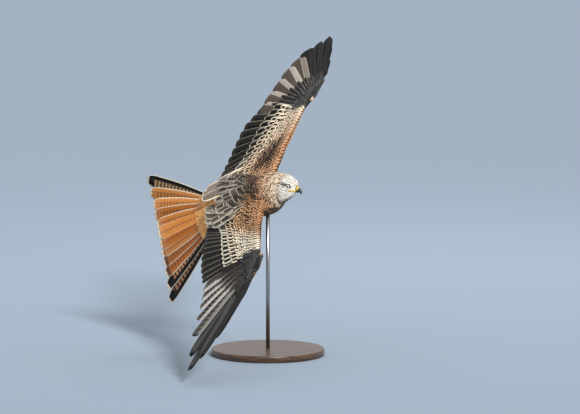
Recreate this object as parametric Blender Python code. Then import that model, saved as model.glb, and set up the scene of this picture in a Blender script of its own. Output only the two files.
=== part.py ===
# A red kite in banking flight, life size, held over a flat base by one rod.
# Metres, +Z up. The origin is the middle of the underside of the base.
# The bird is built in its own axes: x forward, y to its left, z to its back.

import math
import random

import bmesh
import bpy
from mathutils import Matrix, Vector

GAP = 0.0003                        # kept between pieces that touch
TURN = math.radians(-35.2)          # heading, away from +X
CLIMB = math.radians(22.0)          # nose up
BANK = math.radians(37.1)           # left wing up, right wing down
BODY_HEIGHT = 0.475                 # middle of the body over the ground

BASE_RADIUS = 0.170
BASE_THICKNESS = 0.020
BASE_BEVEL = 0.004
ROD_RADIUS = 0.006
ROD_DEPTH = 0.030                   # length of rod inside the belly
ROD_ANCHOR = Vector((0.052, 0.008, -0.010))  # point of the body straight over the base's middle

TORSO_END = -0.096
TORSO_FRONT = 0.083
# distance along the body, half width, half height, height of the middle
TORSO_STATIONS = (
    (TORSO_END, 0.020, 0.015, 0.006),
    (-0.078, 0.030, 0.024, 0.003),
    (-0.050, 0.042, 0.037, -0.003),
    (-0.015, 0.052, 0.050, -0.009),
    (0.020, 0.057, 0.057, -0.012),
    (0.050, 0.057, 0.058, -0.013),
    (0.070, 0.053, 0.054, -0.011),
    (TORSO_FRONT, 0.048, 0.049, -0.008),
)
TORSO_SIDES = 24

HEAD_CENTRE = Vector((0.147, -0.002, -0.011))  # halfway between the eyes
HEAD_TURN = math.radians(-24.0)
HEAD_NOD = math.radians(36.5)
HEAD_TILT = math.radians(-38.3)
HEAD_BACK = -0.030
HEAD_FRONT = 0.021
# distance ahead of the eyes, half width, top, bottom of the throat
HEAD_STATIONS = (
    (HEAD_BACK, 0.0265, 0.0245, -0.0550),
    (-0.023, 0.0260, 0.0258, -0.0545),
    (-0.015, 0.0252, 0.0262, -0.0515),
    (-0.008, 0.0243, 0.0255, -0.0465),
    (-0.002, 0.0230, 0.0240, -0.0415),
    (0.004, 0.0212, 0.0218, -0.0350),
    (0.009, 0.0188, 0.0190, -0.0290),
    (0.014, 0.0158, 0.0152, -0.0235),
    (0.018, 0.0122, 0.0108, -0.0190),
    (HEAD_FRONT, 0.0088, 0.0062, -0.0150),
)
HEAD_WIDEST = -0.003                # level of the widest part of the head
HEAD_SIDES = 24
EYE_RADIUS = 0.0080
EYE_SIDE = 0.0148                   # middle of each eyeball from the head's middle
EYE_DENT = 0.0026                   # hollow of the face round each eye
LID_RADIUS = 0.0062
LID_THICKNESS = 0.0011
LID_STEPS = 14
CERE_LENGTH = 0.0065
BILL_REACH = 0.0400                 # foremost of the hook from between the eyes
MOUTH_LEVEL = -0.0086

VANE_THICKNESS = 0.0008
VANE_STEP = 0.0026                  # from one vane to the next that lies over it
COVERT_LIFT = 0.0043                # coverts over the flight feathers' shafts
MAX_TILT = math.radians(13.0)
LONG_STATIONS = (0.0, 0.45, 0.78, 0.94, 1.0)
SHORT_STATIONS = (0.0, 0.50, 0.86, 1.0)
DROP_SPACING = 0.020                # between the places where crowded feathers are measured
DROP_PLACES = 24
ROOT_LENGTH = 0.090                 # feathers lie side by side at the root, and over each other past this
ROOT_WIDTH = 1.2                    # width at the root over the space to the next root
CROWDED = 0.010                     # three feathers closer than this lie flat
LEVEL = 2.5                         # run over rise of the steepest slope across a wing
LENGTH_SPREAD = 0.012               # how far a feather's length strays from its row's
SECONDARIES = 12
PRIMARIES = 10
HAND_STEP = 0.011                   # between the roots of the primaries
WRIST_VANES = 3                     # arm feathers that the hand is cut back from

# Each wing: joints in the body's axes, then feathers from the elbow outward.
# Sweep is in degrees from straight back towards the wing's tip, rise in degrees
# towards the back, and lengths are from root to tip.
WINGS = {
    "left": {
        "side": 1,
        "shoulder": Vector((0.057, 0.037, 0.001)),
        "elbow": Vector((0.055, 0.143, 0.029)),
        "wrist": Vector((0.1555, 0.270, 0.064)),
        "hand": Vector((0.26, 0.966, -0.03)),
        "secondary_length": (0.209, 0.214, 0.211, 0.209, 0.202),
        "secondary_sweep": (-21.0, -12.0, 2.0, 17.0, 30.0),
        "secondary_rise": (4.3, 2.7, 4.5, 6.7, 5.1),
        "primary_length": (0.240, 0.260, 0.286, 0.317, 0.356, 0.395, 0.428, 0.421, 0.381, 0.278),
        "primary_sweep": (39.0, 48.2, 56.8, 63.5, 67.7, 70.5, 72.4, 71.6, 69.8, 67.0),
        "primary_rise": (2.0, 1.7, 1.4, -0.4, -2.7, -5.4, -7.3, -8.3, -9.8, -12.4),
        "tertial_roots": ((0.050, 0.128, 0.026), (0.048, 0.111, 0.022),
                          (0.047, 0.095, 0.020), (0.046, 0.080, 0.018)),
        "tertial_tips": ((-0.150, 0.062, 0.050), (-0.168, 0.052, 0.050),
                         (-0.176, 0.038, 0.050), (-0.172, 0.020, 0.050)),
    },
    "right": {
        "side": -1,
        "shoulder": Vector((0.057, -0.037, -0.001)),
        "elbow": Vector((0.0375, -0.145, -0.008)),
        "wrist": Vector((0.115, -0.276, -0.017)),
        "hand": Vector((0.23, -0.970, -0.02)),
        "secondary_length": (0.207, 0.214, 0.220, 0.224, 0.226),
        "secondary_sweep": (-22.3, -19.4, -11.6, -1.0, 7.5),
        "secondary_rise": (2.3, 2.9, 2.0, -1.8, -4.4),
        "primary_length": (0.217, 0.219, 0.230, 0.257, 0.308, 0.380, 0.423, 0.416, 0.365, 0.266),
        "primary_sweep": (17.5, 28.2, 40.8, 54.0, 65.3, 71.7, 74.7, 75.4, 76.5, 75.5),
        "primary_rise": (-4.5, -3.9, -2.3, -0.6, 0.4, -0.3, -0.8, -0.6, -0.5, -2.0),
        "tertial_roots": ((0.034, -0.131, -0.006), (0.035, -0.114, -0.003),
                          (0.038, -0.098, 0.000), (0.041, -0.083, 0.004)),
        "tertial_tips": ((-0.156, -0.056, 0.004), (-0.164, -0.038, 0.010),
                         (-0.168, -0.021, 0.018), (-0.166, -0.005, 0.027)),
    },
}

TAIL_PIVOT = Vector((-0.088, 0.0, 0.006))
TAIL_DROOP = math.radians(-5.0)
TAIL_SWING = math.radians(2.0)       # tip towards the left
TAIL_TWIST = math.radians(38.8)     # left edge towards the back
TAIL_HALF_FAN = math.radians(33.0)
TAIL_MIDDLE = 0.312                 # middle feathers from the pivot
RECTRICES = 6                       # on each side
RECTRIX_ROOT = 0.034

LEG_SIDE = 0.026
ANKLE = Vector((-0.062, 0.0, -0.058))
FOOT = Vector((-0.110, 0.0, -0.060))
CLAW_LENGTH = 0.014
TOE_SIDES = 5


def clear_scene():
    for item in list(bpy.data.objects):
        bpy.data.objects.remove(item, do_unlink=True)


def plain_material(name, colour, roughness, metallic=0.0):
    material = bpy.data.materials.new(name)
    material.use_nodes = True
    shader = material.node_tree.nodes["Principled BSDF"]
    shader.inputs["Base Color"].default_value = (*colour, 1.0)
    shader.inputs["Roughness"].default_value = roughness
    shader.inputs["Metallic"].default_value = metallic
    return material


def piece_from(shape, name, material=None, parent=None):
    mesh = bpy.data.meshes.new(name)
    shape.to_mesh(mesh)
    shape.free()
    piece = bpy.data.objects.new(name, mesh)
    bpy.context.scene.collection.objects.link(piece)
    if material is not None:
        mesh.materials.append(material)
    if parent is not None:
        piece.parent = parent
    return piece


def loft(rings):
    """One closed skin through rings of points, with flat ends."""
    shape = bmesh.new()
    rows = [[shape.verts.new(point) for point in ring] for ring in rings]
    count = len(rows[0])
    for near, far in zip(rows, rows[1:]):
        for i in range(count):
            j = (i + 1) % count
            shape.faces.new((near[i], near[j], far[j]))
            shape.faces.new((near[i], far[j], far[i]))
    ends = [shape.faces.new(list(reversed(rows[0]))), shape.faces.new(rows[-1])]
    bmesh.ops.triangulate(shape, faces=ends)
    bmesh.ops.recalc_face_normals(shape, faces=shape.faces)
    return shape


def oval(centre, across, up, half_width, half_height, sides):
    points = []
    for i in range(sides):
        angle = 2.0 * math.pi * i / sides
        offset = across * (half_width * math.cos(angle)) + up * (half_height * math.sin(angle))
        points.append(centre + offset)
    return points


def tube(points, radii, sides=8):
    """A tapered round limb along a bent line."""
    rings = []
    side = Vector((0.0, 1.0, 0.0))
    for i, (point, radius) in enumerate(zip(points, radii)):
        before = points[max(i - 1, 0)]
        after = points[min(i + 1, len(points) - 1)]
        along = (after - before).normalized()
        up = along.cross(side).normalized()
        across = up.cross(along).normalized()
        rings.append(oval(point, across, up, radius, radius, sides))
    return loft(rings)


def between(values, t):
    """A smooth curve through evenly spaced values, read at t from 0 to 1."""
    place = min(max(t, 0.0), 1.0) * (len(values) - 1)
    i = min(int(place), len(values) - 2)
    x = place - i
    a = values[max(i - 1, 0)]
    b = values[i]
    c = values[i + 1]
    d = values[min(i + 2, len(values) - 1)]
    bend = 2.0 * a - 5.0 * b + 4.0 * c - d
    curl = 3.0 * (b - c) + d - a
    return b + 0.5 * x * ((c - a) + x * (bend + x * curl))


def volume(faces):
    """Six times what a closed surface of triangles holds."""
    return abs(sum(f.verts[0].co.dot(f.verts[1].co.cross(f.verts[2].co)) for f in faces))


def largest_surface(mesh):
    """Keep the largest closed surface of a fused mesh. True if every edge joins two faces."""
    shape = bmesh.new()
    shape.from_mesh(mesh)
    bmesh.ops.remove_doubles(shape, verts=shape.verts, dist=1e-6)
    bmesh.ops.triangulate(shape, faces=shape.faces)
    unseen = set(shape.faces)
    islands = []
    while unseen:
        start = unseen.pop()
        island = [start]
        front = [start]
        while front:
            face = front.pop()
            for edge in face.edges:
                for other in edge.link_faces:
                    if other in unseen:
                        unseen.remove(other)
                        island.append(other)
                        front.append(other)
        islands.append(island)
    kept = set(max(islands, key=volume))
    bmesh.ops.delete(shape, geom=[f for f in shape.faces if f not in kept], context="FACES")
    closed = all(len(edge.link_faces) == 2 for edge in shape.edges)
    shape.to_mesh(mesh)
    shape.free()
    return closed


def combine(piece, others, operation):
    """Join the others to a piece, or cut them from it, and remove them."""
    group = bpy.data.collections.new(piece.name + "_group")
    bpy.context.scene.collection.children.link(group)
    for other in others:
        group.objects.link(other)
    modifier = piece.modifiers.new(operation.lower(), "BOOLEAN")
    modifier.operation = operation
    modifier.operand_type = "COLLECTION"
    modifier.collection = group
    for solver in ("EXACT", "MANIFOLD"):
        modifier.solver = solver
        bpy.context.view_layer.update()
        view = bpy.context.evaluated_depsgraph_get()
        result = bpy.data.meshes.new_from_object(piece.evaluated_get(view))
        if largest_surface(result):
            break
    piece.modifiers.clear()
    piece.data = result
    for other in others:
        bpy.data.objects.remove(other, do_unlink=True)
    bpy.data.collections.remove(group)


def vane_width(t, narrow, full, tip_start, tip_power):
    """Share of a vane's full width, from its narrow root to its round tip."""
    width = narrow + (1.0 - narrow) * min(t / full, 1.0)
    if t > tip_start:
        x = (t - tip_start) / (1.0 - tip_start)
        width *= max(1.0 - x ** tip_power, 0.0) ** 0.5
    return max(width, 0.16)


def shaft_point(line, distance):
    """A point of a feather's shaft, arched to the back and curved to the rear."""
    span = line["tip"] - line["root"]
    length = span.length
    t = distance / length
    arch = 4.0 * t * (1.0 - t) * length
    return line["root"] + span * t + line["arch"] * arch


def lie(row, i, distance):
    """Shaft point, forward side and upper side of a feather among its neighbours."""
    lines = row["lines"]
    point = shaft_point(lines[i], distance)
    along = (shaft_point(lines[i], distance + 0.004) - shaft_point(lines[i], distance - 0.004)).normalized()
    low = shaft_point(lines[max(i - 1, 0)], distance)
    high = shaft_point(lines[min(i + 1, len(lines) - 1)], distance)
    ahead = (row["ahead"] - along * row["ahead"].dot(along)).normalized()
    across = (high - low) - along * (high - low).dot(along)
    rise = across - ahead * across.dot(ahead)
    across = rise + ahead * max(across.dot(ahead), CROWDED, rise.length * LEVEL)
    normal = along.cross(across)
    if normal.dot(row["up"]) < 0.0:
        normal = -normal
    return point, across.normalized(), normal.normalized()


def neighbour_space(row, i, distance):
    """How far ahead the next feather's shaft lies."""
    lines = row["lines"]
    j = min(i, len(lines) - 2)
    ahead = lie(row, i, distance)[1]
    apart = shaft_point(lines[j + 1], distance) - shaft_point(lines[j], distance)
    return max(apart.dot(ahead), 0.0)


def measure_drops(row):
    """Steps down that feathers need where they crowd together."""
    drops = [[0.0] * DROP_PLACES]
    for i in range(len(row["lines"]) - 1):
        under = []
        for k in range(DROP_PLACES):
            distance = k * DROP_SPACING
            space = neighbour_space(row, i, distance)
            step = VANE_STEP * min(distance / ROOT_LENGTH, 1.0)
            under.append(drops[i][k] + max(0.0, step - space * math.sin(MAX_TILT)))
        drops.append(under)
    row["drops"] = drops


def drop_at(row, i, distance):
    place = min(max(distance / DROP_SPACING, 0.0), DROP_PLACES - 1.001)
    k = int(place)
    drops = row["drops"][i]
    return drops[k] + (drops[k + 1] - drops[k]) * (place - k)


def vane(row, i, form, grow=0.0):
    """A closed thin plate: one feather of a row, or a covert that lies along it."""
    length = (row["lines"][i]["tip"] - row["lines"][i]["root"]).length
    start = form.get("start", 0.0) - grow
    end = form.get("end", length) + grow
    rings = []
    for t in form["stations"]:
        distance = start + (end - start) * t
        centre, lead, normal = lie(row, i, distance)
        space = max(neighbour_space(row, i, distance), 0.001)
        tilt = min(math.asin(min(VANE_STEP / space, 1.0)), row.get("max_tilt", {}).get(i, MAX_TILT))
        lift = form["lift"][0] + (form["lift"][1] - form["lift"][0]) * t + row.get("raise", {}).get(i, 0.0)
        centre = centre + normal * (lift - drop_at(row, i, distance))
        raised = lead * math.cos(tilt) + normal * math.sin(tilt)
        top = normal * math.cos(tilt) - lead * math.sin(tilt)
        width = form["width"] * vane_width(t, *form["outline"])
        if distance < 0.001:
            width = min(width, ROOT_WIDTH * space)
        fore = raised * (width * form["lead_share"] + grow)
        aft = raised * (-width * (1.0 - form["lead_share"]) - grow)
        half = top * (0.5 * VANE_THICKNESS * (1.0 - 0.35 * t) + grow)
        rings.append((centre + fore + half, centre + aft + half, centre + aft - half, centre + fore - half))
    return loft(rings)


def uneven(share):
    """A factor close to one, different for each feather."""
    return 1.0 + random.uniform(-share, share)


def aim(side, sweep, rise):
    """Direction of a wing feather from its sweep and rise."""
    flat = math.cos(math.radians(rise))
    out = math.sin(math.radians(sweep)) * flat
    back = -math.cos(math.radians(sweep)) * flat
    return Vector((back, side * out, math.sin(math.radians(rise))))


def remix_row(wing):
    """Every flight feather of a wing, from the body outward, each over the next."""
    side = wing["side"]
    wrist = wing["wrist"]
    arm_arch = Vector((0.0, 0.0, 0.012))
    tip_arch = Vector((0.014, 0.0, 0.008))
    lines = []
    for root, tip in zip(wing["tertial_roots"], wing["tertial_tips"]):
        lines.append({"kind": "tertial", "root": Vector(root), "tip": Vector(tip), "arch": arm_arch})
    lines.reverse()
    for i in range(SECONDARIES):
        t = i / (SECONDARIES - 1)
        root = wing["elbow"].lerp(wrist, 0.04 + 0.90 * t)
        direction = aim(side, between(wing["secondary_sweep"], t), between(wing["secondary_rise"], t))
        tip = root + direction * (between(wing["secondary_length"], t) * uneven(LENGTH_SPREAD))
        lines.append({"kind": "secondary", "root": root, "tip": tip, "arch": arm_arch})
    for i in range(PRIMARIES):
        root = wrist + wing["hand"] * (0.007 + HAND_STEP * i)
        direction = aim(side, wing["primary_sweep"][i], wing["primary_rise"][i])
        tip = root + direction * (wing["primary_length"][i] * uneven(LENGTH_SPREAD))
        arch = arm_arch.lerp(tip_arch, i / (PRIMARIES - 1))
        lines.append({"kind": "primary", "root": root, "tip": tip, "arch": arch})
    row = {"lines": lines, "up": Vector((0.0, 0.0, 1.0)), "ahead": Vector((1.0, 0.9 * side, 0.0))}
    measure_drops(row)
    return row


ARM_REMEX = {"width": 0.038, "lead_share": 0.34, "outline": (0.40, 0.40, 0.80, 2.6),
             "stations": LONG_STATIONS, "lift": (0.0, 0.0)}
INNER_REMEX = {"width": 0.046, "lead_share": 0.34, "outline": (0.40, 0.40, 0.80, 2.6),
               "stations": LONG_STATIONS, "lift": (0.0, 0.0)}
OUTER_REMEX = {"width": 0.037, "lead_share": 0.32, "outline": (0.40, 0.40, 0.62, 2.0),
               "stations": LONG_STATIONS, "lift": (0.0, 0.0)}
COVERT = {"width": 0.024, "lead_share": 0.46, "outline": (0.60, 0.30, 0.62, 2.2), "stations": SHORT_STATIONS}


def covert(start, end, lift_root, lift_tip, width=0.024):
    form = dict(COVERT)
    form.update({"start": start, "end": end, "lift": (lift_root, lift_tip), "width": width})
    return form


def wing_vanes(row):
    """Feather forms of the arm and of the hand, each with its place in the row."""
    over = COVERT_LIFT
    arm = []
    hand = []
    for i, line in enumerate(row["lines"]):
        if line["kind"] == "primary":
            number = i - (len(row["lines"]) - PRIMARIES)
            hand.append((i, OUTER_REMEX if number > 4 else INNER_REMEX))
            if number < PRIMARIES - 1:
                hand.append((i, covert(0.004, 0.100, over, over, 0.021)))
        else:
            arm.append((i, ARM_REMEX))
            arm.append((i, covert(0.004, 0.098, over, over)))
            if i % 2 == 1:
                arm.append((i, covert(-0.018 + 0.0011 * i, 0.054, over * 1.9, over * 2.0, 0.030)))
    return arm, hand


def aerofoil(lead_point, back, normal, chord, thickness):
    """One section of a wing's flesh: blunt in front and thin behind."""
    shape = ((0.00, 0.00), (0.05, 0.36), (0.20, 0.55), (0.45, 0.50), (0.75, 0.32), (1.00, 0.16),
             (1.00, -0.16), (0.75, -0.24), (0.45, -0.34), (0.20, -0.38), (0.05, -0.26))
    return [lead_point + back * (chord * x) + normal * (thickness * y) for x, y in shape]


ARM_SECTIONS = ((-0.05, 0.070, 0.034, 0.006), (0.12, 0.074, 0.030, 0.008), (0.30, 0.076, 0.026, 0.004),
                (0.50, 0.072, 0.023, 0.003), (0.72, 0.056, 0.020, 0.004), (0.90, 0.040, 0.017, 0.006),
                (0.995, 0.032, 0.014, 0.007))
HAND_SECTIONS = ((0.0, 0.032, 0.014, 0.007), (0.30, 0.030, 0.013, 0.011), (0.65, 0.025, 0.010, 0.010),
                 (0.90, 0.018, 0.007, 0.007), (1.0, 0.010, 0.005, 0.004))


def limb(start, span, sections, grow=0.0):
    """Flesh of half a wing. Sections: place along it, chord, thickness, distance ahead."""
    back = Vector((-1.0, 0.0, 0.0))
    normal = back.cross(span).normalized()
    if normal.z < 0.0:
        normal = -normal
    ends = (sections[0][0], sections[-1][0])
    rings = []
    for t, chord, thickness, ahead in sections:
        past = grow / span.length * ((t == ends[1]) - (t == ends[0]))
        lead_point = start + span * (t + past) - back * (ahead + grow)
        rings.append(aerofoil(lead_point, back, normal, chord + 2.0 * grow, thickness + 3.0 * grow))
    return loft(rings)


def arm_flesh(wing, grow=0.0):
    """Upper arm, forearm and the skin fold in front of them."""
    return limb(wing["shoulder"], wing["wrist"] - wing["shoulder"], ARM_SECTIONS, grow)


def hand_flesh(wing, grow=0.0):
    """The hand, from the wrist to the root of the outermost primary."""
    return limb(wing["wrist"], wing["hand"] * (HAND_STEP * PRIMARIES + 0.004), HAND_SECTIONS, grow)


def body_oval(place, half_width, half_height, height, sides, grow=0.0):
    centre = Vector((place, 0.0, height))
    return oval(centre, Vector((0.0, 1.0, 0.0)), Vector((0.0, 0.0, 1.0)),
                half_width + grow, half_height + grow, sides)


def torso_shape(grow=0.0):
    rings = [body_oval(*station, TORSO_SIDES, grow) for station in TORSO_STATIONS]
    if grow:
        for point in rings[0]:
            point.x -= grow
        for point in rings[-1]:
            point.x += grow
    return loft(rings)


def vane_pieces(row, forms, name, parent, grow=0.0):
    return [piece_from(vane(row, i, form, grow), f"{name}_{n}", None, parent)
            for n, (i, form) in enumerate(forms)]


def make_wing(side_name, materials, flight):
    """Arm, hand and thumb, each cut back where it meets the one before it."""
    wing = WINGS[side_name]
    row = remix_row(wing)
    arm_forms, hand_forms = wing_vanes(row)
    arm = piece_from(arm_flesh(wing), f"wing_{side_name}_arm", materials["wing"], flight)
    combine(arm, vane_pieces(row, arm_forms, "remex", flight), "UNION")
    combine(arm, [piece_from(torso_shape(GAP), "torso_room", None, flight)], "DIFFERENCE")

    hand = piece_from(hand_flesh(wing), f"wing_{side_name}_hand", materials["wing"], flight)
    combine(hand, vane_pieces(row, hand_forms, "remex", flight), "UNION")
    outermost = len(row["lines"]) - PRIMARIES - WRIST_VANES
    near_wrist = [form for form in arm_forms if form[0] >= outermost]
    room = vane_pieces(row, near_wrist, "arm_room", flight, GAP)
    room.append(piece_from(arm_flesh(wing, GAP), "arm_room", None, flight))
    combine(hand, room, "DIFFERENCE")

    alula = make_alula(side_name, materials, flight)
    room = vane_pieces(row, hand_forms, "hand_room", flight, GAP)
    room.append(piece_from(hand_flesh(wing, GAP), "hand_room", None, flight))
    combine(alula, room, "DIFFERENCE")


def tail_directions():
    """Unit vectors of the tail: back along it, to its left, and its upper side."""
    back = Vector((-math.cos(TAIL_DROOP) * math.cos(TAIL_SWING), math.sin(TAIL_SWING), math.sin(TAIL_DROOP)))
    left = Vector((0.0, math.cos(TAIL_TWIST), math.sin(TAIL_TWIST)))
    left = (left - back * left.dot(back)).normalized()
    upper = left.cross(back)
    if upper.z < 0.0:
        upper = -upper
    return back, left, upper


def rectrix_row(side):
    """Half of the tail, from the middle outward, each feather over the next."""
    back, left, upper = tail_directions()
    lines = []
    for k in range(RECTRICES):
        angle = TAIL_HALF_FAN * (k + 0.5) / (RECTRICES - 0.5)
        direction = back * math.cos(angle) + left * (side * math.sin(angle))
        lead = left * (side * math.cos(angle)) - back * math.sin(angle)
        lines.append({"kind": "rectrix", "root": TAIL_PIVOT + direction * RECTRIX_ROOT,
                      "tip": TAIL_PIVOT + direction * (TAIL_MIDDLE / math.cos(angle) * uneven(LENGTH_SPREAD)),
                      "arch": upper * 0.006 + lead * 0.010})
    row = {"lines": lines, "up": upper, "ahead": left * side, "max_tilt": {0: math.radians(3.0)}}
    if side == 1:
        row["raise"] = {0: 0.0028}
    measure_drops(row)
    return row


def tail_vanes(row):
    forms = []
    for k in range(RECTRICES):
        forms.append((k, {"width": 0.047 - 0.002 * k, "lead_share": 0.5 if k == 0 else 0.38,
                          "outline": (0.30, 0.55, 0.90, 2.6), "stations": LONG_STATIONS, "lift": (0.0, 0.0)}))
        forms.append((k, covert(-0.004, 0.060, 0.0068, 0.0060, 0.020)))
    return forms


def make_tail(materials, flight):
    back = tail_directions()[0]
    rings = []
    for along, half_width, half_height, turned in ((0.0, 0.020, 0.0150, 0.0), (0.25, 0.021, 0.0130, 0.35),
                                                   (0.55, 0.023, 0.0100, 0.75), (0.80, 0.024, 0.0070, 1.0),
                                                   (1.0, 0.022, 0.0040, 1.0)):
        centre = Vector((TORSO_END - GAP, 0.0, TORSO_STATIONS[0][3])) + back * (0.045 * along)
        angle = TAIL_TWIST * turned
        across = Vector((0.0, math.cos(angle), math.sin(angle)))
        up = Vector((0.0, -math.sin(angle), math.cos(angle)))
        rings.append(oval(centre, across, up, half_width, half_height, 20))
    tail = piece_from(loft(rings), "tail", materials["tail"], flight)
    pieces = []
    for side in (1, -1):
        row = rectrix_row(side)
        pieces += vane_pieces(row, tail_vanes(row), f"tail_{side}", flight)
    combine(tail, pieces, "UNION")
    return tail


def head_frame():
    turn = Matrix.Rotation(HEAD_TURN, 4, "Z")
    nod = Matrix.Rotation(HEAD_NOD, 4, "Y")
    tilt = Matrix.Rotation(HEAD_TILT, 4, "X")
    return Matrix.Translation(HEAD_CENTRE) @ turn @ nod @ tilt


def split_oval(centre, across, up, half_width, above, below, sides):
    """An oval whose upper and lower halves differ in height."""
    points = []
    for i in range(sides):
        angle = 2.0 * math.pi * i / sides
        height = math.sin(angle) * (above if math.sin(angle) > 0.0 else below)
        points.append(centre + across * (half_width * math.cos(angle)) + up * height)
    return points


def head_ring(place, half_width, top, bottom):
    """A section of the head, hollowed at the sides round the eyes."""
    points = split_oval(Vector((place, 0.0, HEAD_WIDEST)), Vector((0.0, 1.0, 0.0)), Vector((0.0, 0.0, 1.0)),
                        half_width, top - HEAD_WIDEST, HEAD_WIDEST - bottom, HEAD_SIDES)
    for point in points:
        dent = EYE_DENT * math.exp(-(place / 0.009) ** 2 - (point.z / 0.007) ** 2)
        point.y -= math.copysign(min(dent, abs(point.y)), point.y)
    return points


def moved(shape, matrix):
    bmesh.ops.transform(shape, matrix=matrix, verts=shape.verts)
    return shape


def ball(radius, centre, rings=8, sides=14):
    shape = bmesh.new()
    bmesh.ops.create_uvsphere(shape, u_segments=sides, v_segments=rings, radius=radius)
    bmesh.ops.triangulate(shape, faces=shape.faces)
    return moved(shape, Matrix.Translation(centre))


def lid_ring(side):
    """The swollen rim of the lids round one eye."""
    rings = []
    surface = 0.0198
    for i in range(LID_STEPS):
        angle = 2.0 * math.pi * i / LID_STEPS
        centre = Vector((LID_RADIUS * math.cos(angle), side * surface, LID_RADIUS * math.sin(angle)))
        outward = Vector((math.cos(angle), 0.0, math.sin(angle)))
        rings.append(oval(centre, outward, Vector((0.0, side, 0.0)), LID_THICKNESS, LID_THICKNESS, 5))
    shape = bmesh.new()
    rows = [[shape.verts.new(point) for point in ring] for ring in rings]
    for near, far in zip(rows, rows[1:] + rows[:1]):
        for i in range(5):
            j = (i + 1) % 5
            shape.faces.new((near[i], near[j], far[j]))
            shape.faces.new((near[i], far[j], far[i]))
    bmesh.ops.recalc_face_normals(shape, faces=shape.faces)
    return shape


def make_head(materials, flight):
    frame = head_frame()
    head = piece_from(moved(loft([head_ring(*station) for station in HEAD_STATIONS]), frame), "head",
                      materials["head"], flight)
    added = []
    for side in (1, -1):
        added.append(piece_from(moved(lid_ring(side), frame), "lids", None, flight))
        for offset in (0.0010, -0.0012):
            line = [Vector((0.0200, side * 0.0075, MOUTH_LEVEL + offset)),
                    Vector((0.0150, side * 0.0118, MOUTH_LEVEL - 0.0010 + offset)),
                    Vector((0.0095, side * 0.0148, MOUTH_LEVEL - 0.0022 + offset)),
                    Vector((0.0045, side * 0.0168, MOUTH_LEVEL - 0.0030 + offset))]
            added.append(piece_from(moved(tube(line, (0.0010, 0.0012, 0.0011, 0.0006), 5), frame), "gape",
                                    None, flight))
    combine(head, added, "UNION")
    sockets = [piece_from(moved(ball(EYE_RADIUS + GAP, Vector((0.0, side * EYE_SIDE, 0.0))), frame), "socket",
                          None, flight) for side in (1, -1)]
    combine(head, sockets, "DIFFERENCE")
    for side, name in ((1, "eye_left"), (-1, "eye_right")):
        piece_from(moved(ball(EYE_RADIUS, Vector((0.0, side * EYE_SIDE, 0.0))), frame), name,
                   materials["eye"], flight)
    make_bill(materials, flight, frame)
    return head


def make_bill(materials, flight, frame):
    """Cere, hooked upper bill and lower bill, one in front of the other."""
    across = Vector((0.0, 1.0, 0.0))
    up = Vector((0.0, 0.0, 1.0))
    cere_back = HEAD_FRONT + GAP
    cere_front = cere_back + CERE_LENGTH
    rings = []
    for x, half_width, half_height, height in ((cere_back, 0.0075, 0.0062, -0.0020),
                                               (cere_back + 0.003, 0.0070, 0.0062, -0.0020),
                                               (cere_front, 0.0056, 0.0058, -0.0024)):
        rings.append(oval(Vector((x, 0.0, height)), across, up, half_width, half_height, 20))
    cere = piece_from(moved(loft(rings), frame), "cere", materials["cere"], flight)
    nostrils = []
    for side in (1, -1):
        hole = ball(0.0011, Vector((0.0, 0.0, 0.0)), 6, 8)
        moved(hole, Matrix.Diagonal((1.5, 1.0, 1.0, 1.0)))
        hole = moved(hole, Matrix.Translation(Vector((cere_back + 0.0035, side * 0.0066, -0.0005))))
        nostrils.append(piece_from(moved(hole, frame), "nostril", None, flight))
    combine(cere, nostrils, "DIFFERENCE")

    start = cere_front + GAP
    reach = BILL_REACH - start
    rings = []
    for t, forward, down, half_width, half_height in ((0.0, 0.0, 0.0024, 0.0052, 0.0055),
                                                      (0.0, 0.28, 0.0028, 0.0048, 0.0053),
                                                      (0.35, 0.58, 0.0042, 0.0042, 0.0048),
                                                      (0.65, 0.82, 0.0068, 0.0033, 0.0041),
                                                      (1.0, 0.93, 0.0100, 0.0024, 0.0030),
                                                      (1.3, 0.97, 0.0128, 0.0015, 0.0018),
                                                      (1.5, 0.95, 0.0148, 0.0006, 0.0008)):
        section_up = Vector((math.sin(t), 0.0, math.cos(t)))
        centre = Vector((start + reach * forward, 0.0, -down))
        rings.append(oval(centre, across, section_up, half_width, half_height, 16))
    piece_from(moved(loft(rings), frame), "bill_upper", materials["bill"], flight)

    rings = []
    for x, half_width, half_height, height in ((cere_back, 0.0066, 0.0026, -0.0114),
                                               (cere_back + 0.006, 0.0055, 0.0024, -0.0112),
                                               (cere_back + 0.010, 0.0038, 0.0018, -0.0108),
                                               (cere_back + 0.0125, 0.0018, 0.0008, -0.0104)):
        rings.append(oval(Vector((x, 0.0, height)), across, up, half_width, half_height, 16))
    piece_from(moved(loft(rings), frame), "bill_lower", materials["bill"], flight)


def make_neck(materials, flight):
    frame = head_frame()
    head_across = frame.to_3x3() @ Vector((0.0, 1.0, 0.0))
    head_up = frame.to_3x3() @ Vector((0.0, 0.0, 1.0))
    place, half_width, top, bottom = HEAD_STATIONS[0]
    end = frame @ Vector((place - GAP, 0.0, HEAD_WIDEST))
    start = Vector((TORSO_FRONT + GAP, 0.0, TORSO_STATIONS[-1][3]))
    across = Vector((0.0, 1.0, 0.0))
    up = Vector((0.0, 0.0, 1.0))
    rings = []
    for t in (0.0, 0.35, 0.70, 1.0):
        centre = start.lerp(end, t)
        ring_across = across.lerp(head_across, t).normalized()
        ring_up = up.lerp(head_up, t)
        ring_up = (ring_up - ring_across * ring_up.dot(ring_across)).normalized()
        wide = TORSO_STATIONS[-1][1] * (1.0 - t) + half_width * t
        above = TORSO_STATIONS[-1][2] * (1.0 - t) + (top - HEAD_WIDEST) * t
        below = TORSO_STATIONS[-1][2] * (1.0 - t) + (HEAD_WIDEST - bottom) * t
        rings.append(split_oval(centre, ring_across, ring_up, wide, above, below, TORSO_SIDES))
    return piece_from(loft(rings), "neck", materials["neck"], flight)


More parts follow.
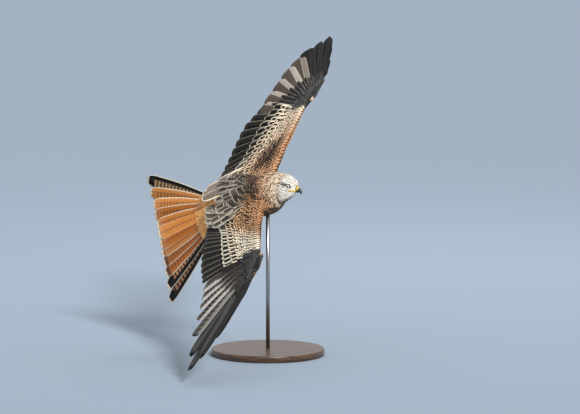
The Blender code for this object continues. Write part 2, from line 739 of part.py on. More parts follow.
def scapular_row(side):
    """Long feathers of one shoulder that lie back over the wing's root."""
    fall, lift = (0.0006, 1.4) if side == 1 else (0.0030, 0.0)
    lines = []
    for k in range(6):
        root = Vector((0.040 - 0.004 * k, side * (0.014 + 0.0085 * k), 0.0385 - fall * k))
        tip = root + aim(side, 2.0 + 5.0 * k, 1.0 + lift * k) * (0.100 + 0.006 * k)
        lines.append({"kind": "scapular", "root": root, "tip": tip, "arch": Vector((0.0, 0.0, 0.015))})
    row = {"lines": lines, "up": Vector((0.0, 0.0, 1.0)), "ahead": Vector((0.0, side * 1.0, 0.0))}
    measure_drops(row)
    return row


def scapular_vanes(row):
    long_form = {"width": 0.026, "lead_share": 0.5, "outline": (0.55, 0.35, 0.70, 2.3),
                 "stations": SHORT_STATIONS, "lift": (0.0, 0.0)}
    forms = []
    for k in range(len(row["lines"])):
        forms.append((k, long_form))
        forms.append((k, covert(-0.012, 0.050, COVERT_LIFT, COVERT_LIFT)))
    return forms


def make_torso(materials, flight):
    torso = piece_from(torso_shape(), "torso", materials["torso"], flight)
    pieces = []
    for side in (1, -1):
        row = scapular_row(side)
        pieces += vane_pieces(row, scapular_vanes(row), "scapular", flight)
    combine(torso, pieces, "UNION")
    return torso


def thigh_shape(side, grow=0.0):
    ankle = ANKLE + Vector((-grow, side * LEG_SIDE, 0.0))
    hip = Vector((0.000, side * 0.034, -0.044))
    knee = Vector((-0.030, side * 0.032, -0.052))
    radii = [radius + grow for radius in (0.019, 0.018, 0.012, 0.0060)]
    return tube([hip, knee, ankle + (knee - ankle) * 0.35, ankle], radii, 14)


def make_leg(side, side_name, materials, flight):
    """Thigh against the flank, shank laid back under the tail, toes half closed."""
    ankle = ANKLE + Vector((0.0, side * LEG_SIDE, 0.0))
    foot = FOOT + Vector((0.0, side * LEG_SIDE * 0.9, 0.0))
    thigh = piece_from(thigh_shape(side), f"thigh_{side_name}", materials["torso"], flight)
    cutter = piece_from(torso_shape(GAP), "torso_room", None, flight)
    combine(thigh, [cutter], "DIFFERENCE")

    along = (foot - ankle).normalized()
    shank = tube([ankle - along * 0.002, ankle + along * 0.012, foot - along * 0.008, foot, foot + along * 0.006,
                  foot + along * 0.011], (0.0052, 0.0042, 0.0041, 0.0052, 0.0058, 0.0044), 10)
    shank = piece_from(shank, f"leg_{side_name}", materials["leg"], flight)
    toes = []
    for spread, length, forward in ((-0.30, 0.026, 1), (0.0, 0.033, 1), (0.30, 0.026, 1), (0.10, 0.016, -1)):
        toe_along = Vector((along.x * forward, spread * side, 0.0)).normalized()
        start = foot + along * 0.006
        points = []
        radii = []
        for k in range(3):
            t = k / 2
            curl = 0.5 * t * t * length
            points.append(start + toe_along * (length * t * (1.0 - 0.25 * t)) + Vector((0.0, 0.0, -curl - 0.002)))
            radii.append(0.0036 - 0.0012 * t)
        tip = points[-1]
        heading = (points[-1] - points[-2]).normalized()
        for k in range(1, 4):
            t = k / 3
            bend = Vector((0.0, 0.0, -0.45 * CLAW_LENGTH * t * t)) - toe_along * (0.35 * CLAW_LENGTH * t * t)
            points.append(tip + heading * (CLAW_LENGTH * t) + bend)
            radii.append(0.0019 * (1.0 - t) + 0.0003)
        toes.append(piece_from(tube(points, radii, TOE_SIDES), "toe", None, flight))
    combine(shank, toes, "UNION")
    combine(shank, [piece_from(thigh_shape(side, GAP), "thigh_room", None, flight)], "DIFFERENCE")


def make_alula(side_name, materials, flight):
    """The bastard wing: three short feathers on the thumb in front of the wrist."""
    wing = WINGS[side_name]
    side = wing["side"]
    wrist = wing["wrist"]
    base = wrist + wing["hand"] * 0.026 + Vector((0.0135, 0.0, 0.0008))
    span = wing["hand"].normalized()
    rings = []
    for t, half_width, half_height in ((0.0, 0.0028, 0.0030), (0.3, 0.0040, 0.0038), (0.7, 0.0034, 0.0030),
                                       (1.0, 0.0018, 0.0016)):
        centre = base + span * (0.030 * t) + Vector((0.0035, 0.0, 0.0))
        rings.append(oval(centre, Vector((1.0, 0.0, 0.0)), Vector((0.0, 0.0, 1.0)), half_width, half_height, 10))
    thumb = piece_from(loft(rings), f"wing_{side_name}_alula", materials["wing"], flight)
    lines = []
    for k in range(3):
        root = base + span * (0.006 + 0.007 * k) + Vector((0.001 + 0.002 * k, 0.0, 0.0008))
        tip = root + (span + Vector((-0.03 - 0.02 * k, 0.0, 0.10))).normalized() * (0.050 + 0.010 * k)
        lines.append({"kind": "alula", "root": root, "tip": tip, "arch": Vector((0.01, 0.0, 0.02))})
    row = {"lines": lines, "up": Vector((0.0, 0.0, 1.0)), "ahead": Vector((1.0, 0.0, 0.0))}
    measure_drops(row)
    forms = [(k, {"width": 0.014, "lead_share": 0.45, "outline": (0.6, 0.3, 0.6, 2.2),
                  "stations": SHORT_STATIONS, "lift": (0.0, 0.0)}) for k in range(3)]
    combine(thumb, vane_pieces(row, forms, "alula", flight), "UNION")
    return thumb


def make_stand(materials, rod_top):
    base = bmesh.new()
    bmesh.ops.create_cone(base, cap_ends=True, segments=48, radius1=BASE_RADIUS, radius2=BASE_RADIUS,
                          depth=BASE_THICKNESS, matrix=Matrix.Translation((0.0, 0.0, BASE_THICKNESS / 2)))
    rim = [edge for edge in base.edges if all(abs(v.co.z - BASE_THICKNESS) < 1e-6 for v in edge.verts)]
    bmesh.ops.bevel(base, geom=rim, offset=BASE_BEVEL, offset_type="OFFSET", segments=2, profile=0.5,
                    affect="EDGES", material=-1)
    bmesh.ops.triangulate(base, faces=base.faces)
    piece_from(base, "stand_base", materials["stand"])
    rod = bmesh.new()
    low = BASE_THICKNESS + GAP
    bmesh.ops.create_cone(rod, cap_ends=True, segments=20, radius1=ROD_RADIUS, radius2=ROD_RADIUS,
                          depth=rod_top - low, matrix=Matrix.Translation((0.0, 0.0, (rod_top + low) / 2)))
    bmesh.ops.triangulate(rod, faces=rod.faces)
    piece_from(rod, "stand_rod", materials["rod"])


def make_flight_frame():
    """The bird's axes in the world: an empty that carries every piece of it."""
    turn = Matrix.Rotation(TURN, 4, "Z") @ Matrix.Rotation(-CLIMB, 4, "Y") @ Matrix.Rotation(BANK, 4, "X")
    anchor = turn @ ROD_ANCHOR
    flight = bpy.data.objects.new("flight", None)
    bpy.context.scene.collection.objects.link(flight)
    flight.matrix_world = Matrix.Translation((-anchor.x, -anchor.y, BODY_HEIGHT)) @ turn
    bpy.context.view_layer.update()
    return flight, BODY_HEIGHT + anchor.z


def rod_room(flight, rod_top):
    """The hole that the rod fills in the belly, in the bird's axes."""
    hole = bmesh.new()
    bmesh.ops.create_cone(hole, cap_ends=True, segments=24, radius1=ROD_RADIUS + GAP, radius2=ROD_RADIUS + GAP,
                          depth=0.30, matrix=Matrix.Translation((0.0, 0.0, rod_top + GAP - 0.15)))
    bmesh.ops.triangulate(hole, faces=hole.faces)
    return piece_from(moved(hole, flight.matrix_world.inverted()), "rod_room", None, flight)


def main():
    clear_scene()
    random.seed(4)
    materials = {
        "wing": plain_material("wing_feathers", (0.09, 0.06, 0.045), 0.7),
        "torso": plain_material("body_feathers", (0.36, 0.15, 0.07), 0.8),
        "neck": plain_material("neck_feathers", (0.52, 0.33, 0.20), 0.8),
        "head": plain_material("head_feathers", (0.68, 0.65, 0.60), 0.8),
        "tail": plain_material("tail_feathers", (0.55, 0.22, 0.09), 0.7),
        "eye": plain_material("eye", (0.75, 0.70, 0.50), 0.1),
        "bill": plain_material("bill_horn", (0.03, 0.035, 0.045), 0.3),
        "cere": plain_material("cere_skin", (0.70, 0.52, 0.06), 0.45),
        "leg": plain_material("leg_skin", (0.72, 0.50, 0.07), 0.5),
        "stand": plain_material("stand_wood", (0.10, 0.07, 0.05), 0.4),
        "rod": plain_material("stand_steel", (0.42, 0.42, 0.42), 0.3, 1.0),
    }
    flight, anchor_height = make_flight_frame()
    torso = make_torso(materials, flight)
    make_neck(materials, flight)
    make_head(materials, flight)
    make_tail(materials, flight)
    for side_name in WINGS:
        make_wing(side_name, materials, flight)
    make_leg(1, "left", materials, flight)
    make_leg(-1, "right", materials, flight)
    rod_top = anchor_height - ROD_DEPTH
    combine(torso, [rod_room(flight, rod_top)], "DIFFERENCE")
    make_stand(materials, rod_top - GAP)


main()
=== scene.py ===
import math

import bmesh
import bpy
import numpy as np
from mathutils import Matrix, Vector


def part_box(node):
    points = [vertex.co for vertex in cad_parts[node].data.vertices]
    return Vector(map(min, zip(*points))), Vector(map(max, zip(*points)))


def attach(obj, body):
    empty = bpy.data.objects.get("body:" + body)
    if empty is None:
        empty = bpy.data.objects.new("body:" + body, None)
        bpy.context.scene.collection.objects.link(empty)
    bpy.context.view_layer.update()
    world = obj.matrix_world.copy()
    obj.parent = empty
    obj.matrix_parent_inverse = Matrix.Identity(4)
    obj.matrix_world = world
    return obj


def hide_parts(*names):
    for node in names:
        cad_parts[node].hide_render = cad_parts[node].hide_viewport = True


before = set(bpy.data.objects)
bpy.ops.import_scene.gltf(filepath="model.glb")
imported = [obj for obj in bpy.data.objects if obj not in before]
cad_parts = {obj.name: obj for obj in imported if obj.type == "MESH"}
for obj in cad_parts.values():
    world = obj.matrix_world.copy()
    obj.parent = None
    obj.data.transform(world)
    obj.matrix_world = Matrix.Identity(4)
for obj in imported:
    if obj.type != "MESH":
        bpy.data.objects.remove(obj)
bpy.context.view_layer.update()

dice = np.random.default_rng(17)
circle = 2.0 * math.pi
sides = {"left": 1, "right": -1}

# the bird is modelled in its own axes: x forward, y to its left, z to its back
xWay, yWay, zWay = np.eye(3)
pose = {"turn": -35.2, "climb": 22.0, "bank": 37.1, "height": 0.475, "anchor": (0.052, 0.008, -0.01)}
headPose = {"centre": (0.147, -0.002, -0.011), "turn": -24.0, "nod": 36.5, "tilt": -38.3}


def turned(*angles):  # degrees about Z, then Y, then X
    turn, climb, bank = (math.radians(angle) for angle in angles)
    return Matrix.Rotation(turn, 4, "Z") @ Matrix.Rotation(climb, 4, "Y") @ Matrix.Rotation(bank, 4, "X")


attitude = turned(pose["turn"], -pose["climb"], pose["bank"])
anchor = attitude @ Vector(pose["anchor"])
birdToWorld = Matrix.Translation((-anchor.x, -anchor.y, pose["height"])) @ attitude
headToBird = Matrix.Translation(headPose["centre"]) @ turned(headPose["turn"], headPose["nod"],
        headPose["tilt"])
birdToHead = headToBird.inverted()
headToWorld = birdToWorld @ headToBird


def moved(matrix, points):
    m = np.array(matrix)
    return points @ m[:3, :3].T + m[:3, 3]


def spun(matrix, vectors):
    return vectors @ np.array(matrix)[:3, :3].T


def unit(vectors):
    return vectors / np.maximum(np.linalg.norm(vectors, axis=-1, keepdims=True), 1e-9)


def flatTo(vectors, axis):  # what is left of vectors across an axis
    return vectors - axis * (vectors * axis).sum(-1, keepdims=True)


def joined(*columns):  # columns side by side, some of them plain numbers
    return np.stack(np.broadcast_arrays(*columns), -1)


def runOf(line):  # distance covered at each point of a line
    return np.concatenate(([0.0], np.cumsum(np.linalg.norm(np.diff(line, axis=0), axis=1))))


def eased(x, low, high):
    t = np.clip((np.asarray(x, float) - low) / (high - low), 0.0, 1.0)
    return t * t * (3.0 - 2.0 * t)


def curveAt(values, place):  # smooth curve through rows of values, at a place counted in rows
    values = np.asarray(values, float)
    last = len(values) - 1
    place = np.clip(np.asarray(place, float), 0.0, last)
    i = np.minimum(place.astype(int), last - 1)
    x = place - i
    if values.ndim > 1:
        x = x[..., None]
    a, b, c, d = (values[np.clip(i + k, 0, last)] for k in (-1, 0, 1, 2))
    return b + 0.5 * x * ((c - a) + x * ((2.0 * a - 5.0 * b + 4.0 * c - d) + x * (3.0 * (b - c) + d - a)))


def curve(values, count):  # a count of points along the smooth curve
    return curveAt(values, np.linspace(0.0, len(values) - 1.0, count))


def paint(red, green, blue):  # colour as seen, 0 to 255, made linear
    seen = np.array((red, green, blue), float) / 255.0
    return np.where(seen <= 0.04045, seen / 12.92, ((seen + 0.055) / 1.055) ** 2.4)


plumage = {name: paint(*seen) for name, seen in {
    "black": (20, 19, 19), "slate": (42, 40, 40), "steel": (94, 94, 92), "umber": (62, 50, 42),
    "brown": (98, 74, 55), "grey": (133, 123, 112), "pearl": (168, 158, 146), "cream": (240, 224, 198),
    "buff": (216, 170, 124), "fawn": (196, 142, 98), "rufous": (172, 98, 52), "rust": (132, 70, 40),
    "orange": (205, 126, 62), "white": (243, 240, 232), "ivory": (252, 238, 210), "ash": (206, 202, 194),
    "olive": (104, 84, 58)}.items()}


def tint(colour):  # a colour, or the plumage colour of that name
    return plumage[colour] if isinstance(colour, str) else np.asarray(colour)


def blend(first, second, share):
    share = np.asarray(share, float)[..., None]
    return tint(first) * (1.0 - share) + tint(second) * share


# shader maths written on sockets


def worked(operation, swapped=False):  # an operator that adds a maths node
    def act(self, other=0.0):
        first, second = (other, self) if swapped else (self, other)
        return self.shade.node("ShaderNodeMath", {"operation": operation}, {0: first, 1: second})
    return act


class Wire:  # a socket that adds the node when it is worked with
    def __init__(self, shade, socket):
        self.shade = shade
        self.socket = socket

    __add__ = worked("ADD")
    __radd__ = worked("ADD", True)
    __sub__ = worked("SUBTRACT")
    __rsub__ = worked("SUBTRACT", True)
    __mul__ = worked("MULTIPLY")
    __rmul__ = worked("MULTIPLY", True)
    size = worked("ABSOLUTE")
    sine = worked("SINE")
    larger = worked("MAXIMUM")
    power = worked("POWER")


class Shade:  # one material and its nodes
    def __init__(self, name, **fixed):
        self.material = bpy.data.materials.new(name)
        self.material.use_nodes = True
        self.nodes = self.material.node_tree.nodes
        self.links = self.material.node_tree.links
        self.shader = self.nodes["Principled BSDF"]
        for label, value in fixed.items():
            self.shader.inputs[label.replace("_", " ")].default_value = value

    def node(self, kind, settings, values, output=0):
        made = self.nodes.new(kind)
        for key, value in settings.items():
            setattr(made, key, value)
        for key, value in values.items():
            if isinstance(value, Wire):
                self.links.new(value.socket, made.inputs[key])
            else:
                made.inputs[key].default_value = value
        return Wire(self, made.outputs[output])

    def feed(self, label, wire):
        self.links.new(wire.socket, self.shader.inputs[label])

    def attribute(self, name, output=0):
        return self.node("ShaderNodeAttribute", {"attribute_name": name}, {}, output)

    def parts(self, vector):
        return [self.node("ShaderNodeSeparateXYZ", {}, {0: vector}, i) for i in range(3)]

    def mix(self, factor, *colours):
        first, second = (value if isinstance(value, Wire) else (*tint(value), 1.0) for value in colours)
        return self.node("ShaderNodeMix", {"data_type": "RGBA"}, {0: factor, 6: first, 7: second}, 2)

    def dimmed(self, colour, factor):  # colour times a number
        return self.node("ShaderNodeVectorMath", {"operation": "SCALE"}, {0: colour, 3: factor})

    def step(self, value, low, high):
        return self.node("ShaderNodeMapRange", {"interpolation_type": "SMOOTHSTEP"},
                {0: value, 1: low, 2: high})

    def where(self):
        return self.node("ShaderNodeTexCoord", {}, {}, 3)

    def noise(self, vector, scale, detail=2.0):
        return self.node("ShaderNodeTexNoise", {}, {0: vector, "Scale": scale, "Detail": detail})

    def bump(self, height, distance, strength):
        made = self.node("ShaderNodeBump", {}, {"Height": height, "Distance": distance,
                "Strength": strength})
        self.feed("Normal", made)


def speckled(name, pattern, dark, light, rough=None, bump=None, **fixed):
    # two colours by a pattern, which also gives roughness (least, spread) and bump (distance, strength)
    shade = Shade(name, **fixed)
    share = pattern(shade)
    shade.feed("Base Color", shade.mix(share, paint(*dark), paint(*light)))
    if rough:
        shade.feed("Roughness", rough[0] + share * rough[1])
    if bump:
        shade.bump(share, *bump)
    return shade.material


def grains(scale, detail=2.0):
    return lambda shade: shade.noise(shade.where(), scale, detail)


def featherMaterial(name, below=False):
    # vane: across from the trailing edge to the leading edge, and along from root to tip
    shade = Shade(name, Roughness=0.62, Specular_IOR_Level=0.09)
    step, mix, parts, attribute = shade.step, shade.mix, shade.parts, shade.attribute
    across, reach, _ = parts(shade.node("ShaderNodeUVMap", {"uv_map": "vane"}, {}))
    fringe, centre, bars = parts(attribute("plan", 1))
    aspect, barCount, shaftTone = parts(attribute("form", 1))
    outer, tip, chance = parts(attribute("wear", 1))
    ink = attribute("ink")
    rimTone = attribute("rim")
    spot = shade.where()
    blotch = shade.noise(spot, 90.0, 3.0) - 0.5
    ragged = shade.noise(spot, 700.0, 1.0) - 0.5
    side = across * 2.0 - 1.0
    fromShaft = side.size()
    toTip = 1.0 - (1.0 - reach) * aspect
    rim = fromShaft.larger(toTip) + ragged * 0.16
    # bars: short ticks where they are weak
    ladder = (reach * barCount * 6.28 + fromShaft * 0.9 + chance * 6.28 + blotch * 1.3).sine()
    barMask = step(ladder, 0.2, 0.7) * bars
    barMask = barMask * (step(side, 0.16, -0.04) * 0.9 + 0.1) * step(toTip, 0.92, 0.3)
    barMask = barMask * step(fromShaft - bars * 1.2, -0.25, -0.45)
    # dark streak down the middle, longer toward the tip where it is narrow
    pointed = 0.25 + step(centre, 0.3, 0.6) * 0.75
    tipPart = toTip.larger(0.0)
    field = (side * side + tipPart * tipPart * pointed).power(0.5)
    streak = step(field + ragged * 0.14 - centre, 0.07, -0.07) * step(centre, 0.0, 0.05)
    colour = mix(step(rim, 0.3, 1.1) * 0.16, attribute("under" if below else "tone"), rimTone)
    colour = mix(streak, colour, ink)
    # outer web: pale for less than nothing, dark for more, with a dark tip
    paleWeb = step(side, -0.06, 0.1) * (outer * -1.0).larger(0.0)
    colour = mix(paleWeb, colour, rimTone)
    colour = mix(barMask, colour, ink)
    web = step(side, 0.0, 0.14) * outer.larger(0.0)
    darkTip = step(toTip + blotch * 0.3, 1.0 - tip * 2.0, 1.06 - tip * 1.6) * step(tip, 0.0, 0.05)
    colour = mix(web.larger(darkTip), colour, ink)
    if below:
        pale = attribute("under", 3) * step(reach, 0.78, 0.45)
        colour = mix(pale * (1.0 - barMask * 0.7), colour, "white")
    edge = step(rim, 1.0 - fringe, 1.04 - fringe * 0.8) * step(fringe, 0.0, 0.03)
    colour = mix(edge, colour, rimTone)
    shaftMask = step(fromShaft, 0.075, 0.03) * step(aspect, 1.5, 4.0)
    colour = mix(shaftMask * 0.65, colour, mix(shaftTone, ink, "ash"))
    # barbs, and painted shade toward the covered web with painted light on the open web, for the shadow each
    # long feather's neighbour casts
    barbs = (reach * aspect * 26.0 - fromShaft * 17.0 + ragged * 2.0).sine()
    coveredShade = (step(side, -0.8, 0.6) - 0.7) * step(aspect, 4.0, 6.0)
    light = barbs * 0.05 + blotch * 0.5 + coveredShade * (1.0 - edge) * 0.46 + 1.0
    shade.feed("Base Color", shade.dimmed(colour, light))
    shade.feed("Roughness", 0.6 + blotch * 0.25)
    shade.bump(barbs * 0.5 + ragged, 0.00012, 0.6)
    return shade.material


feather = featherMaterial("feather")
featherBelow = featherMaterial("feather_underside", below=True)

# feathers as thin closed vanes, gathered piece by piece. A grid: stations along, and columns across

quillGrid = ([1.0 - (1.0 - i / 21) ** 1.35 for i in range(22)],
             (-1.0, -0.82, -0.55, -0.26, -0.08, -0.03, 0.0, 0.03, 0.08, 0.3, 0.58, 0.84, 1.0))
coverGrid = ((0.0, 0.15, 0.32, 0.5, 0.66, 0.79, 0.88, 0.945, 0.985, 1.0),
             (-1.0, -0.6, -0.1, 0.0, 0.1, 0.6, 1.0))
smallGrid = ((0.0, 0.28, 0.56, 0.8, 0.94, 1.0), (-1.0, -0.5, 0.0, 0.5, 1.0))
headGrid = ((0.0, 0.35, 0.7, 0.92, 1.0), (-1.0, 0.0, 1.0))
quillStations, coverStations, smallStations = (np.array(g[0]) for g in (quillGrid, coverGrid, smallGrid))


def vaneFaces(rows, columns):  # triangles of one vane, alike on both faces
    def below(r, c):
        if r in (0, rows - 1) or c in (0, columns - 1):
            return r * columns + c
        return rows * columns + (r - 1) * (columns - 2) + c - 1
    upper = []
    under = []
    for r in range(rows - 1):
        for c in range(columns - 1):
            square = [(r, c), (r, c + 1), (r + 1, c + 1), (r + 1, c)]
            top = [i * columns + j for i, j in square]
            low = [below(i, j) for i, j in square]
            upper += [(top[0], top[1], top[2]), (top[0], top[2], top[3])]
            under += [(low[2], low[1], low[0]), (low[3], low[2], low[0])]
    return np.array(upper + under), len(upper)


def outline(t, root, tipStart, full=0.3, power=2.2):  # share of the full width along a vane
    width = root + (1.0 - root) * np.minimum(t / full, 1.0) ** 0.7
    x = np.clip((t - tipStart) / (1.0 - tipStart), 0.0, 1.0)
    return width * np.sqrt(np.maximum(1.0 - x ** power, 0.0)) + 0.012


def look(count, tone, rim=None, ink="black", under=None, pale=0.0, fringe=0.0, centre=0.0, bars=0.0,
        aspect=4.0, barCount=9.0, shaft=0.2, outer=0.0, tip=0.0, spread=0.1):
    def each(value, *width):
        return np.broadcast_to(np.asarray(tint(value), float), (count, *width))
    bright = 1.0 + dice.normal(0.0, spread, count)[:, None]
    tone = each(tone, 3) * bright
    rim = each(tone if rim is None else rim, 3) * (0.5 + 0.5 * bright)
    solid = np.ones(count)
    return {"tone": np.c_[tone, solid], "rim": np.c_[rim, solid],
            "ink": np.c_[each(ink, 3) * bright, solid],
            "under": np.c_[each(tone if under is None else under, 3), each(pale)],
            "plan": np.c_[each(fringe), each(centre), each(bars)],
            "form": np.c_[each(aspect), each(barCount), each(shaft)],
            "wear": np.c_[each(outer), each(tip), dice.random(count)]}


def fill(layer, field, values, kind=np.float32):
    layer.foreach_set(field, np.asarray(values, kind).reshape(-1))


class Coat:  # the feathers of one piece
    def __init__(self, name, slot, *materials):
        self.name = name
        self.slot = slot
        self.materials = materials or (feather,)
        self.parts = {}
        self.total = 0

    def add(self, shaft, normal, leadHint, width, grid, looks, patch, size, form=None, tilt=0.0,
            camber=0.12, thick=0.0005, ridge=0.0):
        # shaft: feather, station, axis. width: the whole, or without a form the halves ahead and behind
        count, rows = shaft.shape[:2]
        t, cols = (np.array(part) for part in grid)
        way = unit(np.gradient(shaft, axis=1))
        lead = unit(flatTo(leadHint, way))
        top = np.cross(way, lead)
        facing = np.sign((top * normal).sum((1, 2)))
        top = top * facing[:, None, None]
        tilt = np.broadcast_to(tilt, (count, rows))[..., None]
        raised = lead * np.cos(tilt) + top * np.sin(tilt)
        upper = top * np.cos(tilt) - lead * np.sin(tilt)
        pair = width if form is None else (0.5 * width * outline(t, *form),) * 2
        ahead, behind = (np.broadcast_to(wide, (count, rows))[..., None] for wide in pair)
        wide = np.where(cols > 0.0, ahead, behind)
        height = thick * (1.0 - 0.6 * t)[:, None] * np.sqrt(np.maximum(1.0 - cols ** 2, 0.0))
        height = height + ridge * ((1.0 - t) ** 0.6)[:, None] * (np.abs(cols) < 0.01)
        height[[0, -1]] = 0.0
        bend = -camber * cols ** 2 * wide
        raised = raised[:, :, None]
        upper = upper[:, :, None]
        flat = shaft[:, :, None] + raised * (cols * wide)[..., None] + upper * bend[..., None]
        lift = upper * (0.5 * height)[..., None]
        above = (flat + lift).reshape(count, -1, 3)
        below = (flat - lift)[:, 1:-1, 1:-1].reshape(count, -1, 3)
        points = np.concatenate((above, below), 1)
        per = points.shape[1]
        faces, upperCount = vaneFaces(rows, len(cols))
        block = faces + (np.arange(count) * per)[:, None, None] + self.total
        block[facing > 0.0] = block[facing > 0.0][:, :, ::-1]
        kinds = np.zeros(len(faces), int)
        kinds[upperCount:] = len(self.materials) - 1
        flatGrid = joined(cols * 0.5 + 0.5, t[:, None])
        vane = np.concatenate((flatGrid.reshape(-1, 2), flatGrid[1:-1, 1:-1].reshape(-1, 2)))
        bake = patch[:, None] + (vane - 0.5) * np.array(size)
        found = {"points": points.reshape(-1, 3), "faces": block.reshape(-1, 3),
                "kinds": np.tile(kinds, count), "vane": np.tile(vane, (count, 1)),
                "OFBake": bake.reshape(-1, 2)}
        found.update((key, np.repeat(value, per, 0)) for key, value in looks.items())
        for key, value in found.items():
            self.parts.setdefault(key, []).append(value)
        self.total += count * per

    def finish(self, *nodes):
        whole = {key: np.concatenate(values) for key, values in self.parts.items()}
        faces = whole["faces"]
        mesh = bpy.data.meshes.new(self.name)
        mesh.vertices.add(self.total)
        fill(mesh.vertices, "co", moved(birdToWorld, whole["points"]))
        mesh.loops.add(faces.size)
        fill(mesh.loops, "vertex_index", faces, np.int32)
        mesh.polygons.add(len(faces))
        fill(mesh.polygons, "loop_start", np.arange(len(faces)) * 3, np.int32)
        mesh.update(calc_edges=True)
        mesh.shade_smooth()
        fill(mesh.polygons, "material_index", whole["kinds"], np.int32)
        for label in ("vane", "OFBake"):
            fill(mesh.uv_layers.new(name=label).data, "uv", whole[label][faces])
        for key in ("tone", "rim", "ink", "under", "plan", "form", "wear"):
            setLayer(mesh, key, whole[key])
        place(self.name, mesh, self.slot, self.materials, nodes)
        print(f"{self.name}: {len(faces)} triangles")


def setLayer(mesh, name, values):  # four numbers for each point are a colour, three a vector
    kind, field = ("FLOAT_COLOR", "color") if values.shape[1] == 4 else ("FLOAT_VECTOR", "vector")
    fill(mesh.attributes.new(name, kind, "POINT").data, field, values)


def place(name, mesh, slot, materials, nodes=()):
    piece = bpy.data.objects.new(name, mesh)
    bpy.context.scene.collection.objects.link(piece)
    for material in materials:
        mesh.materials.append(material)
    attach(piece, "root")
    if nodes:
        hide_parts(*nodes)
    return piece


def settled(name, shape):  # a bmesh made into a mesh
    mesh = bpy.data.meshes.new(name)
    shape.to_mesh(mesh)
    shape.free()
    return mesh


def grown(name, shape, slot, material, nodes=(), matrix=birdToWorld, smooth=True):
    bmesh.ops.transform(shape, matrix=matrix, verts=shape.verts)
    mesh = settled(name, shape)
    if smooth:
        mesh.shade_smooth()
    return place(name, mesh, slot, [material], nodes)


def loft(rings, closed=True):  # one skin over rings of points, from a grid of squares
    count = len(rings[0])
    shape = bmesh.new()
    bmesh.ops.create_grid(shape, x_segments=count, y_segments=len(rings) - 1, size=1.0)
    shape.verts.ensure_lookup_table()
    order = sorted(shape.verts, key=lambda v: (round(v.co.y, 4), round(v.co.x, 4)))
    for i, vert in enumerate(order):
        vert.co = rings[i // (count + 1)][i % (count + 1) % count]
    bmesh.ops.remove_doubles(shape, verts=shape.verts, dist=1e-7)
    if closed:
        bmesh.ops.holes_fill(shape, edges=shape.edges, sides=0)
    bmesh.ops.recalc_face_normals(shape, faces=shape.faces)
    return shape


# the wings' plan: shafts of the flight feathers, from the body outward

tertials, secondaries, primaries = 4, 12, 10
firstPrimary = tertials + secondaries
innerPlaces = 2  # the skin goes on past the innermost feather, to the body
handStep = 0.011
quill = {"start": 0.012, "apart": 0.0018, "tilt": 12.0, "armArch": 0.012, "tipArch": (0.014, 0.0, 0.008)}
wings = {
    "left": {
        "shoulder": (0.057, 0.037, 0.001), "elbow": (0.055, 0.143, 0.029), "wrist": (0.1555, 0.27, 0.064),
        "hand": (0.26, 0.966, -0.03),
        "secondaryLength": (0.209, 0.214, 0.211, 0.209, 0.202),
        "secondarySweep": (-21.0, -12.0, 2.0, 17.0, 30.0),
        "secondaryRise": (4.3, 2.7, 4.5, 6.7, 5.1),
        "primaryLength": (0.24, 0.26, 0.286, 0.317, 0.356, 0.395, 0.428, 0.421, 0.381, 0.278),
        "primarySweep": (39.0, 48.2, 56.8, 63.5, 67.7, 70.5, 72.4, 71.6, 69.8, 67.0),
        "primaryRise": (2.0, 1.7, 1.4, -0.4, -2.7, -5.4, -7.3, -8.3, -9.8, -12.4),
        "tertialRoots": ((0.046, 0.08, 0.018), (0.047, 0.095, 0.02), (0.048, 0.111, 0.022),
                         (0.05, 0.128, 0.026)),
        "tertialTips": ((-0.172, 0.02, 0.05), (-0.176, 0.038, 0.05), (-0.168, 0.052, 0.05),
                        (-0.15, 0.062, 0.05)),
    },
    "right": {
        "shoulder": (0.057, -0.037, -0.001), "elbow": (0.0375, -0.145, -0.008),
        "wrist": (0.115, -0.276, -0.017), "hand": (0.23, -0.97, -0.02),
        "secondaryLength": (0.207, 0.214, 0.22, 0.224, 0.226),
        "secondarySweep": (-22.3, -19.4, -11.6, -1.0, 7.5),
        "secondaryRise": (2.3, 2.9, 2.0, -1.8, -4.4),
        "primaryLength": (0.217, 0.219, 0.23, 0.257, 0.308, 0.38, 0.423, 0.416, 0.365, 0.266),
        "primarySweep": (17.5, 28.2, 40.8, 54.0, 65.3, 71.7, 74.7, 75.4, 76.5, 75.5),
        "primaryRise": (-4.5, -3.9, -2.3, -0.6, 0.4, -0.3, -0.8, -0.6, -0.5, -2.0),
        "tertialRoots": ((0.041, -0.083, 0.004), (0.038, -0.098, 0.0), (0.035, -0.114, -0.003),
                         (0.034, -0.131, -0.006)),
        "tertialTips": ((-0.166, -0.005, 0.027), (-0.168, -0.021, 0.018), (-0.164, -0.038, 0.01),
                        (-0.156, -0.056, 0.004)),
    },
}
wings = {name: {key: np.array(value) for key, value in wing.items()} for name, wing in wings.items()}


def heading(side, sweep, rise):
    sweep = np.radians(sweep)
    rise = np.radians(rise)
    return joined(-np.cos(sweep) * np.cos(rise), side * np.sin(sweep) * np.cos(rise), np.sin(rise))


